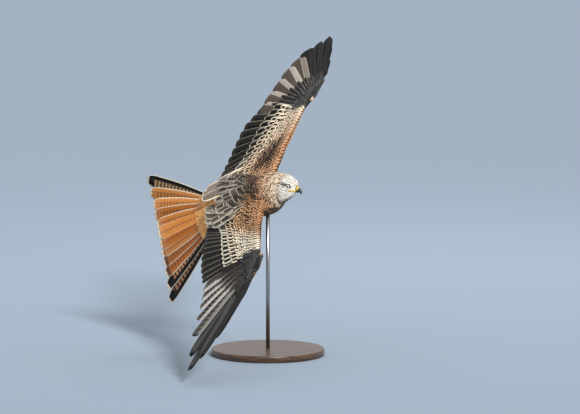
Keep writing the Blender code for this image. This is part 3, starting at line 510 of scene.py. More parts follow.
class Shafts:  # a row of feather shafts, read at any place between them
    def __init__(self, roots, tips, arches, ahead, up):
        self.roots = np.array(roots)
        self.span = np.array(tips) - self.roots
        self.length = np.linalg.norm(self.span, axis=-1)
        self.arches = np.array(arches)
        self.ahead = np.array(ahead)
        self.up = up
        self.last = len(roots) - 1

    def at(self, place, distance):
        place, distance = np.broadcast_arrays(place, distance)
        length = curveAt(self.length, place)
        t = distance / length
        arch = curveAt(self.arches, place) * (4.0 * t * (1.0 - t) * length)[..., None]
        return curveAt(self.roots, place) + curveAt(self.span, place) * t[..., None] + arch

    def frames(self, place, distance):  # forward side and upper side of feathers among their neighbours
        way = unit(self.at(place, distance + 0.004) - self.at(place, distance - 0.004))
        after = self.at(np.minimum(place + 1, self.last), distance)
        across = flatTo(after - self.at(np.maximum(place - 1, 0), distance), way)
        ahead = unit(flatTo(self.ahead, way))
        forward = (across * ahead).sum(-1, keepdims=True)
        rise = across - ahead * forward
        steep = np.linalg.norm(rise, axis=-1, keepdims=True) * 2.5
        lead = unit(rise + ahead * np.maximum(np.maximum(forward, 0.01), steep))
        top = np.cross(way, lead)
        return lead, top * np.sign((top * self.up).sum(-1, keepdims=True))

    def spaces(self, place, distance):  # from each shaft forward to the next
        low = np.minimum(place, self.last - 1)
        lead, _ = self.frames(place, distance)
        apart = self.at(low + 1, distance) - self.at(low, distance)
        return np.maximum((apart * lead).sum(-1), 0.001)

    def lines(self, start, apart, tilt, raised=0.0):
        # feathers that close under one another where they crowd: shafts, upper and forward sides, tilts
        steepest = math.sin(math.radians(tilt))
        index = np.arange(self.last + 1)[:, None]
        gap = 0.02  # between the stops along the shafts
        stops = np.arange(24) * gap
        need = apart * np.minimum(stops / 0.09, 1.0)  # less near the roots
        under = np.cumsum(np.maximum(0.0, need - self.spaces(index[:-1], stops) * steepest), 0)
        drops = np.concatenate((np.zeros((1, len(stops))), under))
        distance = start + (self.length[:, None] - start) * quillStations
        place = np.clip(distance / gap, 0.0, len(stops) - 1.01)
        k = place.astype(int)
        drop = drops[index, k] + (drops[index, k + 1] - drops[index, k]) * (place - k)
        lead, top = self.frames(index, distance)
        tilt = np.arcsin(np.clip(apart / self.spaces(index, distance), 0.0, steepest))
        return self.at(index, distance) + top * (raised - drop)[..., None], top, lead, tilt


def wingShafts(side, wing):
    elbow, wrist = wing["elbow"], wing["wrist"]
    roots = list(wing["tertialRoots"])
    tips = list(wing["tertialTips"])
    arches = [quill["armArch"] * zWay] * firstPrimary
    for i in range(secondaries):
        t = i / (secondaries - 1)
        length, sweep, rise = (curveAt(wing["secondary" + key], 4.0 * t)
                for key in ("Length", "Sweep", "Rise"))
        roots.append(elbow + (wrist - elbow) * (0.04 + 0.9 * t))
        tips.append(roots[-1] + heading(side, sweep, rise) * length * dice.uniform(0.985, 1.01))
    for i in range(primaries):
        way = heading(side, wing["primarySweep"][i], wing["primaryRise"][i])
        roots.append(wrist + wing["hand"] * (0.007 + handStep * i))
        tips.append(roots[-1] + way * wing["primaryLength"][i] * dice.uniform(0.992, 1.006))
        arches.append(arches[0] + (np.array(quill["tipArch"]) - arches[0]) * i / (primaries - 1))
    return Shafts(roots, tips, arches, (1.0, 0.9 * side, 0.0), zWay)


# flesh of a wing: places from shoulder to wrist and on to the hand's end, with chord, thickness, reach ahead
armFlesh = {"place": (-0.05, 0.12, 0.3, 0.5, 0.72, 0.9, 1.0),
            "chord": (0.07, 0.074, 0.076, 0.072, 0.056, 0.04, 0.032),
            "thick": (0.032, 0.028, 0.024, 0.021, 0.018, 0.015, 0.013),
            "ahead": (0.006, 0.007, 0.003, 0.002, 0.003, 0.005, 0.006)}
handFlesh = {"place": (0.0, 0.3, 0.65, 0.9, 1.0), "chord": (0.032, 0.03, 0.025, 0.018, 0.01),
             "thick": (0.013, 0.012, 0.009, 0.006, 0.004), "ahead": (0.006, 0.01, 0.009, 0.006, 0.003)}
fleshShape = {"place": (0.0, 0.03, 0.1, 0.25, 0.45, 0.75, 1.0, 1.25, 1.5),
              "above": (0.0, 0.24, 0.43, 0.54, 0.5, 0.32, 0.16, 0.05, 0.0),
              "below": (0.0, -0.17, -0.32, -0.39, -0.34, -0.24, -0.14, -0.05, 0.0)}


class WingSkin:  # the surface that coverts grow from, by place along the wing and distance behind the bones
    def __init__(self, side, wing, shafts):
        roots = list(shafts.roots)
        tips = list(shafts.roots + shafts.span)
        for step in range(1, innerPlaces + 1):
            roots.insert(0, shafts.roots[0] + np.array((0.003, -0.018 * side, -0.004)) * step)
            tips.insert(0, tips[0] + np.array((0.02, -0.012 * side, -0.004)))
        arches = np.concatenate((shafts.arches[:innerPlaces], shafts.arches))
        self.shafts = Shafts(roots, tips, arches, shafts.ahead, shafts.up)
        self.last = self.shafts.last
        rows = []
        for i, root in enumerate(self.shafts.roots):
            onArm = i < firstPrimary + innerPlaces
            start = wing["shoulder" if onArm else "wrist"]
            end = wing["wrist"] if onArm else start + wing["hand"] * (handStep * primaries + 0.004)
            flesh = armFlesh if onArm else handFlesh
            slant = (-0.45 * xWay + 0.55 * unit(self.shafts.span[i]))[:2]
            front = root.copy()
            for _ in range(4):  # walk to the point of the leading edge that lies ahead of the root
                t = (front[1] - start[1]) / (end[1] - start[1])
                chord, thick, ahead = (np.interp(t, flesh["place"], flesh[key])
                        for key in ("chord", "thick", "ahead"))
                line = start + (end - start) * t
                reach = (line[0] + ahead - root[0]) / -slant[0]
                front = np.array((*(root[:2] - slant * reach), line[2]))
            edge = np.linalg.norm(front - root)
            rows.append((edge, chord / -slant[0], thick, (root - front) / edge))
        self.edge, self.chord, self.thick, self.back = (np.array(part) for part in zip(*rows))

    def plane(self, s, c):
        behind = self.shafts.at(s, np.maximum(c, 0.0))
        return behind + curveAt(self.back, s) * np.minimum(c, 0.0)[..., None]

    def leadWay(self, s, c):
        return unit(self.plane(s + 0.15, c) - self.plane(s - 0.15, c))

    def normal(self, s, c):
        up = unit(np.cross(self.leadWay(s, c), self.plane(s, c + 0.004) - self.plane(s, c - 0.004)))
        return up * np.sign(up[..., 2:3])

    def surface(self, s, c, face):  # face 1 above and -1 below
        x = (c + curveAt(self.edge, s)) / np.maximum(curveAt(self.chord, s), 0.008)
        flesh = np.interp(x, fleshShape["place"], fleshShape["above" if face > 0 else "below"])
        return self.plane(s, c) + self.normal(s, c) * (flesh * curveAt(self.thick, s))[..., None]

    def even(self, low, high, c, spacing):  # places a given space apart along the wing
        table = np.linspace(low, high, 200)
        run = runOf(self.surface(table, np.full_like(table, c), 1))
        count = max(int(run[-1] / spacing), 2)
        marks = (np.arange(count) + dice.uniform(0.2, 0.8)) / count * run[-1]
        return np.interp(marks + dice.uniform(-0.15, 0.15, count) * spacing, run, table)


def layTier(coat, skin, s, root, tip, lift, width, grid, looks, band, crowd, face=1, tilt=8.0,
        form=(0.55, 0.62, 0.25), thick=0.0005, camber=0.16):
    # root, tip: distances behind the bones. lift: over the skin at both ends. band, crowd: cell in OFBake
    t = np.array(grid[0])
    patch = joined(0.02 + 0.96 * s / skin.last, (band + 0.5) / 30.0)
    s, root, tip, width, high = (part[:, None]
            for part in np.broadcast_arrays(s, root, tip, width, lift[1]))
    c = root + (tip - root) * t
    normal = skin.normal(s, c) * face
    height = lift[0] + (high - lift[0]) * t + dice.uniform(-0.0002, 0.0003, s.shape) * t
    shaft = skin.surface(s, c, face) + normal * height[..., None]
    coat.add(shaft, normal, skin.leadWay(s, c), width * dice.uniform(0.93, 1.07, s.shape), grid, looks,
            patch, (0.9 / crowd, 0.028), form, math.radians(tilt), camber, thick)


def layQuills(name, shafts):
    coat = Coat(f"{name}_flight_feathers", "wing_feathers", feather, featherBelow)
    count = len(shafts.roots)
    index = np.arange(count)
    number = index - firstPrimary  # 0 at the innermost primary
    isTertial = index < tertials
    isPrimary = number >= 0
    left = name == "left"
    isPale = number >= (-1 if left else 0)
    finger = eased(number, 3.5, 5.5)
    black = eased(number, 2.4, 4.0) if left else eased(number, 3.4, 5.0)

    def kinds(first, second, other):  # for the first kind of feather, for the second, for the rest
        return np.where(first[0], first[1], np.where(second[0], second[1], other))

    t = quillStations
    full = kinds((isPrimary, 0.056 - 0.006 * finger), (isTertial, 0.044), 0.049)
    blunt = 0.0 if left else 0.05
    shape = np.stack([outline(t, 0.34, (0.88 if p else 0.92) - 0.12 * f + blunt * p * (1.0 - f), 0.35,
            2.8 - 0.3 * f) for f, p in zip(finger, isPrimary)])
    shape[isTertial] = outline(t, 0.34, 0.84, 0.35, 2.1)
    closed = 1.0 + (0.0 if left else 0.34) * eased(number, -1.5, 1.0) * eased(number, 8.5, 5.0)
    leadShare = np.where(isTertial, 0.44, 0.3)
    leadNotch, notch = (1.0 - deep * finger[:, None] * eased(t, *ends)
            for deep, ends in ((0.2, (0.26, 0.44)), (0.26, (0.34, 0.6))))
    widths = ((full * leadShare)[:, None] * shape * leadNotch,
            (full * closed * (1.0 - leadShare))[:, None] * shape * notch)
    inner = blend("grey", "brown", 0.55) if left else blend("grey", "umber", 0.5)
    outermost = tint("black") * 0.7 if left else paint(82, 82, 80)
    tone = np.where(isPale[:, None], blend(inner, outermost, black), tint("black") * 0.9)
    tone[isTertial] = blend("grey", "brown", 0.25)
    pearly = "pearl" if left else blend("pearl", "ash", 0.6)
    looks = look(count, tone, np.where(isPale[:, None], blend(pearly, "slate", black), tint("cream")),
            under=np.where(isPrimary[:, None], blend("pearl", "grey", 0.3), tint("grey")),
            pale=np.where(isPrimary, 0.95, 0.12), fringe=np.where(isTertial, 0.28, 0.08),
            bars=kinds((isPale, 1.0 - 0.7 * black), (isTertial, 0.15), 0.35),
            aspect=shafts.length / full * 1.8, barCount=np.where(isPale, 17.0, 9.0),
            shaft=np.where(isPale, 1.0 - 0.95 * black, 0.05),
            outer=kinds((isPale, 1.7 * black - 0.9), (isTertial, 0.0), 0.5),
            tip=kinds((isTertial, 0.0), (isPrimary, 0.05 + 0.4 * black), 0.2), spread=0.08)
    shaft, top, lead, tilt = shafts.lines(quill["start"], quill["apart"], quill["tilt"])
    coat.add(shaft, top, lead, widths, quillGrid, looks, joined((index + 0.5) / count, 0.5),
            (0.9 / count, 0.96), tilt=tilt, camber=0.1, thick=0.0007, ridge=0.0014)
    coat.finish(f"wing_{name}_arm", f"wing_{name}_hand")


# coverts: where tips lie behind the bones, with lengths and widths. centre: share of the dark middle
covert = {"greaterTip": 0.15, "greaterWidth": 0.034, "handTip": 0.152, "handWidth": 0.02,
          "medianTips": (0.112, 0.088), "medianLengths": (0.08, 0.068), "lesserRows": 10, "lesserTip": 0.07,
          "belowRows": 8, "belowTip": 0.047, "belowWidth": 0.018, "belowApart": 0.011,
          "left": {"aspect": 8.0, "medianWidths": (0.02, 0.021), "centre": 0.56, "lesserApart": 0.0122},
          "right": {"aspect": 5.6, "medianWidths": (0.023, 0.021), "centre": 0.58, "lesserApart": 0.0145}}


def layCoverts(name, skin):
    coat = Coat(f"{name}_wing_coverts", "wing_feathers")
    own = covert[name]
    last = skin.last
    wrist = firstPrimary + innerPlaces
    left = name == "left"

    # over the quills: greater coverts of the arm and of the hand
    s = np.arange(innerPlaces + 1, wrist) - 0.3
    outward = eased(s, innerPlaces + 2.0, innerPlaces + 8.0)
    looks = look(len(s), blend(blend("grey", "umber", 0.5), "black", outward), "ivory",
            fringe=0.5 - 0.24 * outward if left else 0.44, aspect=own["aspect"], shaft=0.0)
    layTier(coat, skin, s, 0.03, covert["greaterTip"] - 0.016 * outward, (0.002, 0.0038),
            covert["greaterWidth"], coverGrid, looks, 0, 28, form=(0.55, 0.74), thick=0.0006)
    s = np.arange(wrist - 1, last, 0.5) + 0.1
    outward = np.maximum(s - wrist, 0.0) / (last - wrist)
    looks = look(len(s), blend("slate", "black", 0.5), blend("grey", "slate", eased(outward, 0.0, 1.2)),
            fringe=0.16, aspect=12.0, shaft=0.12)
    tip = covert["handTip"] - 0.04 * outward + 0.012 * np.sin(s * 6.28)
    layTier(coat, skin, s, 0.006, tip, (0.0016, 0.0034), covert["handWidth"] - 0.004 * outward, coverGrid,
            looks, 0, 44, form=(0.55, 0.45, 0.3, 1.7), thick=0.0006, camber=0.1)

    # median coverts, the pale band
    for rank in range(2):
        tip, length, wide = (sizes[rank]
                for sizes in (covert["medianTips"], covert["medianLengths"], own["medianWidths"]))
        s = skin.even(innerPlaces * 0.6, wrist - 0.7, 0.03, wide * 0.62)
        outward = eased(s, innerPlaces + 3.0, wrist)
        rim = blend("buff", "ivory", 0.45 + 0.45 * outward)
        centre = own["centre"] - 0.1 * outward - 0.04 * rank + dice.normal(0.0, 0.05, len(s))
        looks = look(len(s), rim, rim, blend("umber", "black", 0.7), centre=centre,
                aspect=length / wide * 2.0, shaft=0.1)
        layTier(coat, skin, s, tip - length, tip - 0.012 * outward, (0.0016, 0.005 + 0.001 * rank), wide,
                coverGrid, looks, 2 + rank, 40, form=(0.55, 0.66), thick=0.0006)
        s = skin.even(wrist - 0.9, last - 0.5, 0.02, wide * 0.46)
        outward = np.maximum(s - wrist, 0.0) / (last - wrist)
        looks = look(len(s), blend("slate", "black", 0.4), "steel", fringe=0.16, aspect=5.0)
        layTier(coat, skin, s, -0.004, (tip - 0.03) * (1.0 - 0.25 * outward),
                (0.001, 0.0044 + 0.0008 * rank), wide * 0.78 * (1.0 - 0.2 * outward), smallGrid, looks,
                2 + rank, 40, form=(0.55, 0.62))

    # lesser coverts in rows up to the leading edge
    rows = covert["lesserRows"]
    for row in range(rows):
        front = row / (rows - 1.0)  # 1 at the leading edge
        spacing = own["lesserApart"] - 0.0025 * front
        s = skin.even(0.0, last - 0.6, -0.01, spacing)
        edge = curveAt(skin.edge, s)
        gap = (covert["lesserTip"] - 0.022 * eased(s, wrist - 1.0, wrist + 2.0) + edge) / rows
        tip = -edge + gap * (rows - row - 0.1) + dice.normal(0.0, 0.1, len(s)) * gap
        root = np.maximum(tip - np.maximum(gap * 2.7, 0.018), -edge - 0.001)
        lift = 0.0012 + 0.0052 * eased(tip, -0.008, 0.045)
        hand = eased(s + dice.normal(0.0, 0.25, len(s)), wrist - 2.3 + 1.2 * front,
                wrist - 1.3 + 1.2 * front)
        outward = np.clip((s - innerPlaces) / (wrist - innerPlaces), 0.0, 1.0)
        patchy = left * eased(np.abs(s - 5.8), 4.6, 1.6) * eased(abs(front - 0.48), 0.5, 0.24)
        if left:
            pale = np.clip(1.5 * outward - 0.6 * front, 0.0, 1.0)
            centre = 0.66 - 0.18 * pale - 0.2 * front + 0.22 * patchy
        else:
            pale = np.clip(2.6 * (outward - 0.34) + 0.5 * (1.0 - front) - 0.1, 0.0, 1.0)
            centre = 0.6 - 0.2 * pale - 0.14 * front
        atEdge = eased(front, 0.75, 1.0) * (1.0 - hand)
        dark = blend(blend("umber", "black", 0.4), "rust", 0.1 + 0.25 * front)
        dark = blend(blend(dark, "black", 0.8 * patchy), "black", pale * (1.0 - front))
        dark = blend(blend(dark, "black", hand), "rust", 0.6 * atEdge)
        warm = blend(blend("orange", "buff", 0.68), "cream", 0.2 if left else 0.1)
        rim = blend(blend(warm, "ivory", pale * (0.8 if left else 1.0)), "brown", 0.5 * patchy)
        rim = blend(rim, tint("steel") * 0.75, hand)
        rim = rim * (1.0 - 0.24 * eased(front, 0.45, 0.95) * (1.0 - pale))[:, None]
        centre = centre + dice.normal(0.0, 0.07, len(s))
        centre = centre * (1.0 - 0.3 * eased(front, 0.8, 1.0) * (1.0 - hand))
        looks = look(len(s), rim, rim, dark, centre=centre, aspect=2.6, spread=0.15 - 0.05 * front)
        layTier(coat, skin, s, root, tip, (0.0, lift), spacing * 1.5, smallGrid, looks, 5 + row, 60,
                tilt=5.0, form=(0.6, 0.5), camber=0.1)

    # below: greater, median and lesser rows, rufous on the arm
    for band, root, tip, lift, width, spacing, tone, rim in (
            (19, 0.008, 0.092, (0.0016, 0.003), 0.03, 1.0, "grey", "ash"),
            (20, -0.004, 0.06, (0.0012, 0.0042), 0.026, 0.9, "rust", "buff")):
        s = np.arange(innerPlaces, last, spacing) + 0.3
        outward = np.clip((s - wrist) / (last - wrist), 0.0, 1.0)
        looks = look(len(s), blend(tone, "slate", eased(s, wrist - 1.0, wrist + 1.0) * 0.8), rim,
                fringe=0.14, centre=0.2, aspect=2.6)
        layTier(coat, skin, s, root, tip - 0.022 * outward, lift, width * (1.0 - 0.3 * outward), coverGrid,
                looks, band, 34, face=-1, tilt=-7.0)
    rows = covert["belowRows"]
    for row in range(rows):
        s = skin.even(0.0, last - 0.6, -0.01, covert["belowApart"])
        edge = curveAt(skin.edge, s)
        depth = covert["belowTip"] + edge
        tip = -edge + depth * (1.0 - (row + 0.35) / rows)
        root = np.maximum(tip - np.maximum(depth / rows * 3.0, 0.018), -edge - 0.001)
        lift = 0.0012 + 0.0036 * eased(tip, -0.008, 0.038)
        front = eased(row, 3.5, 6.5)
        onHand = eased(s, wrist - 1.6, wrist)
        edging = blend(blend("orange", "buff", 0.75), tint("steel") * 0.6, onHand)
        looks = look(len(s), blend(blend("rufous", "rust", 0.4), edging, front),
                blend("buff", edging, front), blend("black", "rust", front * (1.0 - onHand)), fringe=0.22,
                centre=0.3 * (1.0 - front), aspect=1.7, spread=0.12)
        layTier(coat, skin, s, root, tip, (0.0, lift), covert["belowWidth"], smallGrid, looks, 21 + row, 50,
                face=-1, tilt=-6.0, form=(0.6, 0.5), camber=0.1)
    coat.finish()


alula = {"feathers": 4, "length": 0.052, "longer": 0.01, "width": 0.0165, "rows": 6, "around": 9}


def layAlula(name, wing):
    coat = Coat(f"{name}_alula", "wing_feathers")
    span = unit(wing["hand"])
    base = wing["wrist"] + wing["hand"] * 0.026 + np.array((0.0135, 0.0, 0.0008))
    count = alula["feathers"]
    k = np.arange(count) * 0.72
    root = base + span * (0.004 + 0.007 * k)[:, None] + joined(0.001 + 0.002 * k, 0.0, 0.0012)
    bent = unit(span + joined(-0.03 - 0.02 * k, 0.0, 0.07))
    t = coverStations
    distance = (alula["length"] + alula["longer"] * k)[:, None] * t
    shaft = root[:, None] + bent[:, None] * distance[..., None]
    shaft[..., 2] += 0.003 * 4.0 * t * (1.0 - t) - 0.0007 * k[:, None]
    looks = look(count, "slate", "steel", fringe=0.12, aspect=7.0, shaft=0.1)
    coat.add(shaft, zWay, xWay, alula["width"], coverGrid, looks, joined((k + 0.5) / count, 0.3),
            (0.16, 0.5), (0.6, 0.66), tilt=0.1, camber=0.2, thick=0.0006)
    # the thumb's own small coverts, pale at the base
    t = smallStations
    count = alula["around"]
    for row in range(alula["rows"]):
        turn = (np.arange(count) + 0.5 * (row % 2)) / count * circle
        reach = 0.026 - 0.0055 * row + 0.014 * t
        thick = 0.004 * np.sin(np.clip((reach + 0.004) / 0.04, 0.0, 1.0) * math.pi) ** 0.5 + 0.0008 * t
        out = joined(np.cos(turn), 0.0, np.sin(turn))[:, None]
        shaft = base + 0.0015 * xWay + span * reach[:, None] + out * thick[:, None]
        pale = eased(row, 3.2, 5.0)
        looks = look(count, blend("slate", "cream", pale), blend("umber", "orange", pale), fringe=0.2,
                aspect=2.6)
        coat.add(shaft, out, np.cross(out, span), 0.006, smallGrid, looks,
                joined(turn / 6.4 % 1.0 * 0.9 + 0.05, 0.66 + 0.05 * row), (0.05, 0.04), (0.6, 0.5),
                camber=0.2)
    coat.finish(f"wing_{name}_alula")


for name, wing in wings.items():
    shafts = wingShafts(sides[name], wing)
    layQuills(name, shafts)
    layCoverts(name, WingSkin(sides[name], wing, shafts))
    layAlula(name, wing)
print("wings done")

# tail

tail = {"pivot": (-0.088, 0.0, 0.006), "droop": -5.0, "swing": 2.0, "twist": 38.8, "halfFan": 33.0,
        "middle": 0.312, "eachSide": 6, "root": 0.034, "apart": 0.0016, "tilt": 10.0}


def tailWays():
    droop, swing, twist = (math.radians(tail[key]) for key in ("droop", "swing", "twist"))
    back = np.array((-math.cos(droop) * math.cos(swing), math.sin(swing), math.sin(droop)))
    left = unit(flatTo(math.cos(twist) * yWay + math.sin(twist) * zWay, back))
    upper = np.cross(left, back)
    return np.array(tail["pivot"]), back, left, upper * np.sign(upper[2])


def tailShafts(side):
    pivot, back, left, upper = tailWays()
    rows = []
    for k in range(tail["eachSide"]):
        angle = math.radians(tail["halfFan"]) * (k + 0.5) / (tail["eachSide"] - 0.5)
        way = back * math.cos(angle) + left * (side * math.sin(angle))
        across = left * (side * math.cos(angle)) - back * math.sin(angle)
        tip = pivot + way * tail["middle"] / math.cos(angle) * dice.uniform(0.99, 1.005)
        rows.append((pivot + way * tail["root"], tip, upper * 0.006 + across * 0.01))
    return Shafts(*zip(*rows), left * side, upper)


def layTail():
    coat = Coat("tail_feathers", "tail_feathers", feather, featherBelow)
    each = tail["eachSide"]
    index = np.arange(each)
    for side in sides.values():
        left = side == 1
        shafts = tailShafts(side)
        shaft, top, lead, tilt = shafts.lines(0.0, tail["apart"], tail["tilt"], 0.0014 if left else 0.0)
        tilt[0] = math.radians(2.0)
        full = 0.05 - 0.002 * index
        shape = full[:, None] * outline(quillStations, 0.3, 0.86, 0.55, 2.3)
        leadShare = np.where(index == 0, 0.5, 0.36)[:, None]
        tone = blend(paint(190, 106, 34), paint(204, 140, 74), 0.05 + 0.65 * dice.random(each))
        # painted shade: the right half of the tail, the under-lit side, is blended further to rust, more so
        # toward its outer feathers
        tone = blend(tone, "rust", np.full(each, 0.1) if left else 0.18 + 0.12 * index)
        dark = index > (4 if left else 3)  # feathers with a dark outer web
        tip = np.array((0.1, 0.1, 0.1, 0.1, 0.1, 0.34) if left else (0.1, 0.14, 0.19, 0.24, 0.4, 0.4))
        web = blend("buff", "brown", 0.35) if left else blend(blend("fawn", "grey", 0.3), "rust", 0.3)
        tone[dark] = web
        looks = look(each, tone, blend("cream", "buff", 0.1),
                np.where(dark[:, None], tint("black"), blend("umber", "rust", 0.3)),
                under=blend("buff", "ash", 0.35), fringe=0.18, bars=np.where(dark, 1.0, 0.5 + 0.08 * index),
                aspect=shafts.length / full * 0.66, barCount=21.0, shaft=0.08, outer=dark, tip=tip,
                spread=0.13)
        coat.add(shaft, top, lead, (shape * leadShare, shape * (1.0 - leadShare)), quillGrid, looks,
                joined((index + 0.5) / (2 * each) + 0.5 * left, 0.42), (0.9 / (2 * each), 0.8), tilt=tilt,
                camber=0.06, thick=0.0007, ridge=0.0014)
    # coverts over and under the roots of the tail
    pivot, back, left, upper = tailWays()
    t = coverStations
    for face in (1, -1):
        above = face == 1
        for row in range(5):
            count = 12 - row
            fan = np.linspace(-1.0, 1.0, count) * math.radians(26.0 + 3.0 * row)
            fan += dice.normal(0.0, 0.02, count)
            reach = (0.072 - 0.016 * row if above else 0.044 - 0.018 * row) + (0.07 if above else 0.08) * t
            way = back * np.cos(fan)[:, None] + left * np.sin(fan)[:, None]
            height = face * (0.0035 + 0.0026 * row * (1.0 - t) + 0.0016 * row
                    + 0.009 * eased(reach, 0.09, 0.0))
            shaft = pivot + way[:, None] * reach[:, None] + upper * height[:, None]
            looks = look(count, paint(234, 164, 88) if above else "rufous", blend("cream", "buff", 0.45),
                    "rufous", fringe=0.11, centre=0.12, aspect=2.4, spread=0.12)
            patch = joined(np.linspace(0.04, 0.96, count), 0.85 + 0.015 * row + 0.075 * above)
            coat.add(shaft, upper * face, left, 0.026, coverGrid, looks, patch, (0.06, 0.013), (0.5, 0.66),
                    tilt=np.sign(fan)[:, None] * -0.1, camber=0.16)
    coat.finish("tail")


layTail()
print("tail done")

# body, neck and head as one surface of oval rings. torso: forward, half width, half height, centre's height.
# neck: share of the way, half width, above, below. head: forward, half width, top, bottom

torsoRings = ((-0.096, 0.02, 0.015, 0.006), (-0.078, 0.03, 0.024, 0.003), (-0.05, 0.042, 0.037, -0.003),
              (-0.015, 0.052, 0.05, -0.009), (0.02, 0.057, 0.057, -0.012), (0.05, 0.057, 0.058, -0.013))
neckRings = ((0.18, 0.055, 0.057, 0.06), (0.36, 0.0515, 0.0525, 0.0605), (0.54, 0.046, 0.0465, 0.061),
             (0.78, 0.0365, 0.035, 0.06))
headRings = (
    (-0.03, 0.027, 0.024, -0.062), (-0.023, 0.0262, 0.0252, -0.0665), (-0.015, 0.0252, 0.0255, -0.0705),
    (-0.008, 0.0243, 0.0248, -0.0665), (-0.002, 0.023, 0.0236, -0.059), (0.004, 0.0212, 0.0222, -0.051),
    (0.009, 0.019, 0.0204, -0.043), (0.014, 0.0162, 0.018, -0.035), (0.018, 0.013, 0.0146, -0.0275),
    (0.021, 0.0098, 0.0098, -0.02), (0.023, 0.007, 0.0044, -0.0138))
headWidest = -0.003
eye = {"radius": 0.008, "side": 0.0148, "dent": 0.0026, "lid": 0.0062}


class BodySkin:
    def __init__(self):
        rings = []
        x, wide, high, z = torsoRings[0]
        for k in (3, 2, 1):  # the narrow end under the tail's root
            turn = math.radians(tail["twist"]) * k / 3.0
            thin = high * (1.0 - 0.26 * k)
            rings.append(((x - 0.013 * k, 0.0, z - 0.001 * k), (0.0, math.cos(turn), math.sin(turn)),
                    (0.0, -math.sin(turn), math.cos(turn)), (wide * (1.0 - 0.13 * k), thin, thin)))
        for x, wide, high, z in torsoRings:
            rings.append(((x, 0.0, z), yWay, zWay, (wide, high, high)))
        start = np.array(rings[-1][0])
        self.neckStart = len(rings) + 1
        end = moved(headToBird, np.array((headRings[0][0], 0.0, headWidest)))
        headAcross = spun(headToBird, yWay)
        headUp = spun(headToBird, zWay)
        for t, *size in neckRings:
            bent = t ** 2.2
            way = unit(yWay * (1.0 - bent) + headAcross * bent)
            rise = zWay * (1.0 - bent) + headUp * bent
            rings.append((start + (end - start) * t, way, unit(flatTo(rise, way)), size))
        self.headStart = len(rings)
        for x, wide, top, bottom in headRings:
            rings.append((moved(headToBird, np.array((x, 0.0, headWidest))), headAcross, headUp,
                    (wide, top - headWidest, headWidest - bottom)))
        self.centres, self.across, self.up, self.sizes = (np.array(part) for part in zip(*rings))
        self.place = np.linspace(0.0, len(rings) - 1.0, 600)
        self.run = runOf(curveAt(self.centres, self.place))
        self.runAt = np.interp(np.arange(len(rings)), self.place, self.run)

    def point(self, run, angle):  # run along the body from its rear end, angle up from its left side
        place = np.interp(run, self.run, self.place)
        sizes = curveAt(self.sizes, place)
        sine = np.sin(angle)
        high = np.where(sine > 0.0, sizes[..., 1], sizes[..., 2]) * sine
        flat = curveAt(self.across, place) * (sizes[..., 0] * np.cos(angle))[..., None]
        point = curveAt(self.centres, place) + flat + curveAt(self.up, place) * high[..., None]
        x, y, z = np.moveaxis(moved(birdToHead, point), -1, 0)
        dent = eye["dent"] * np.exp(-(x / 0.009) ** 2 - (z / 0.007) ** 2) * eased(np.abs(y), 0.008, 0.014)
        return point - spun(headToBird, yWay) * (np.sign(y) * dent)[..., None]

    def frame(self, run, angle):
        forward = self.point(run + 0.0008, angle) - self.point(run - 0.0008, angle)
        around = self.point(run, angle + 0.02) - self.point(run, angle - 0.02)
        return unit(np.cross(around, forward)), unit(around)

    def stretch(self, run, angle):  # surface covered for each step along the run
        ahead = self.point(run + 0.001, angle) - self.point(run - 0.001, angle)
        return np.maximum(np.linalg.norm(ahead, axis=-1) / 0.002, 0.5)

    def girth(self, run):
        around = np.linspace(0.0, circle, 33)
        return runOf(self.point(np.full_like(around, run), around))[-1]


bodySkin = BodySkin()
throat = {"way": (0.052, -0.467, -0.883), "depth": 0.0483}  # painted shade: olive beyond a plane through throat and breast, on the underside that lies in shadow
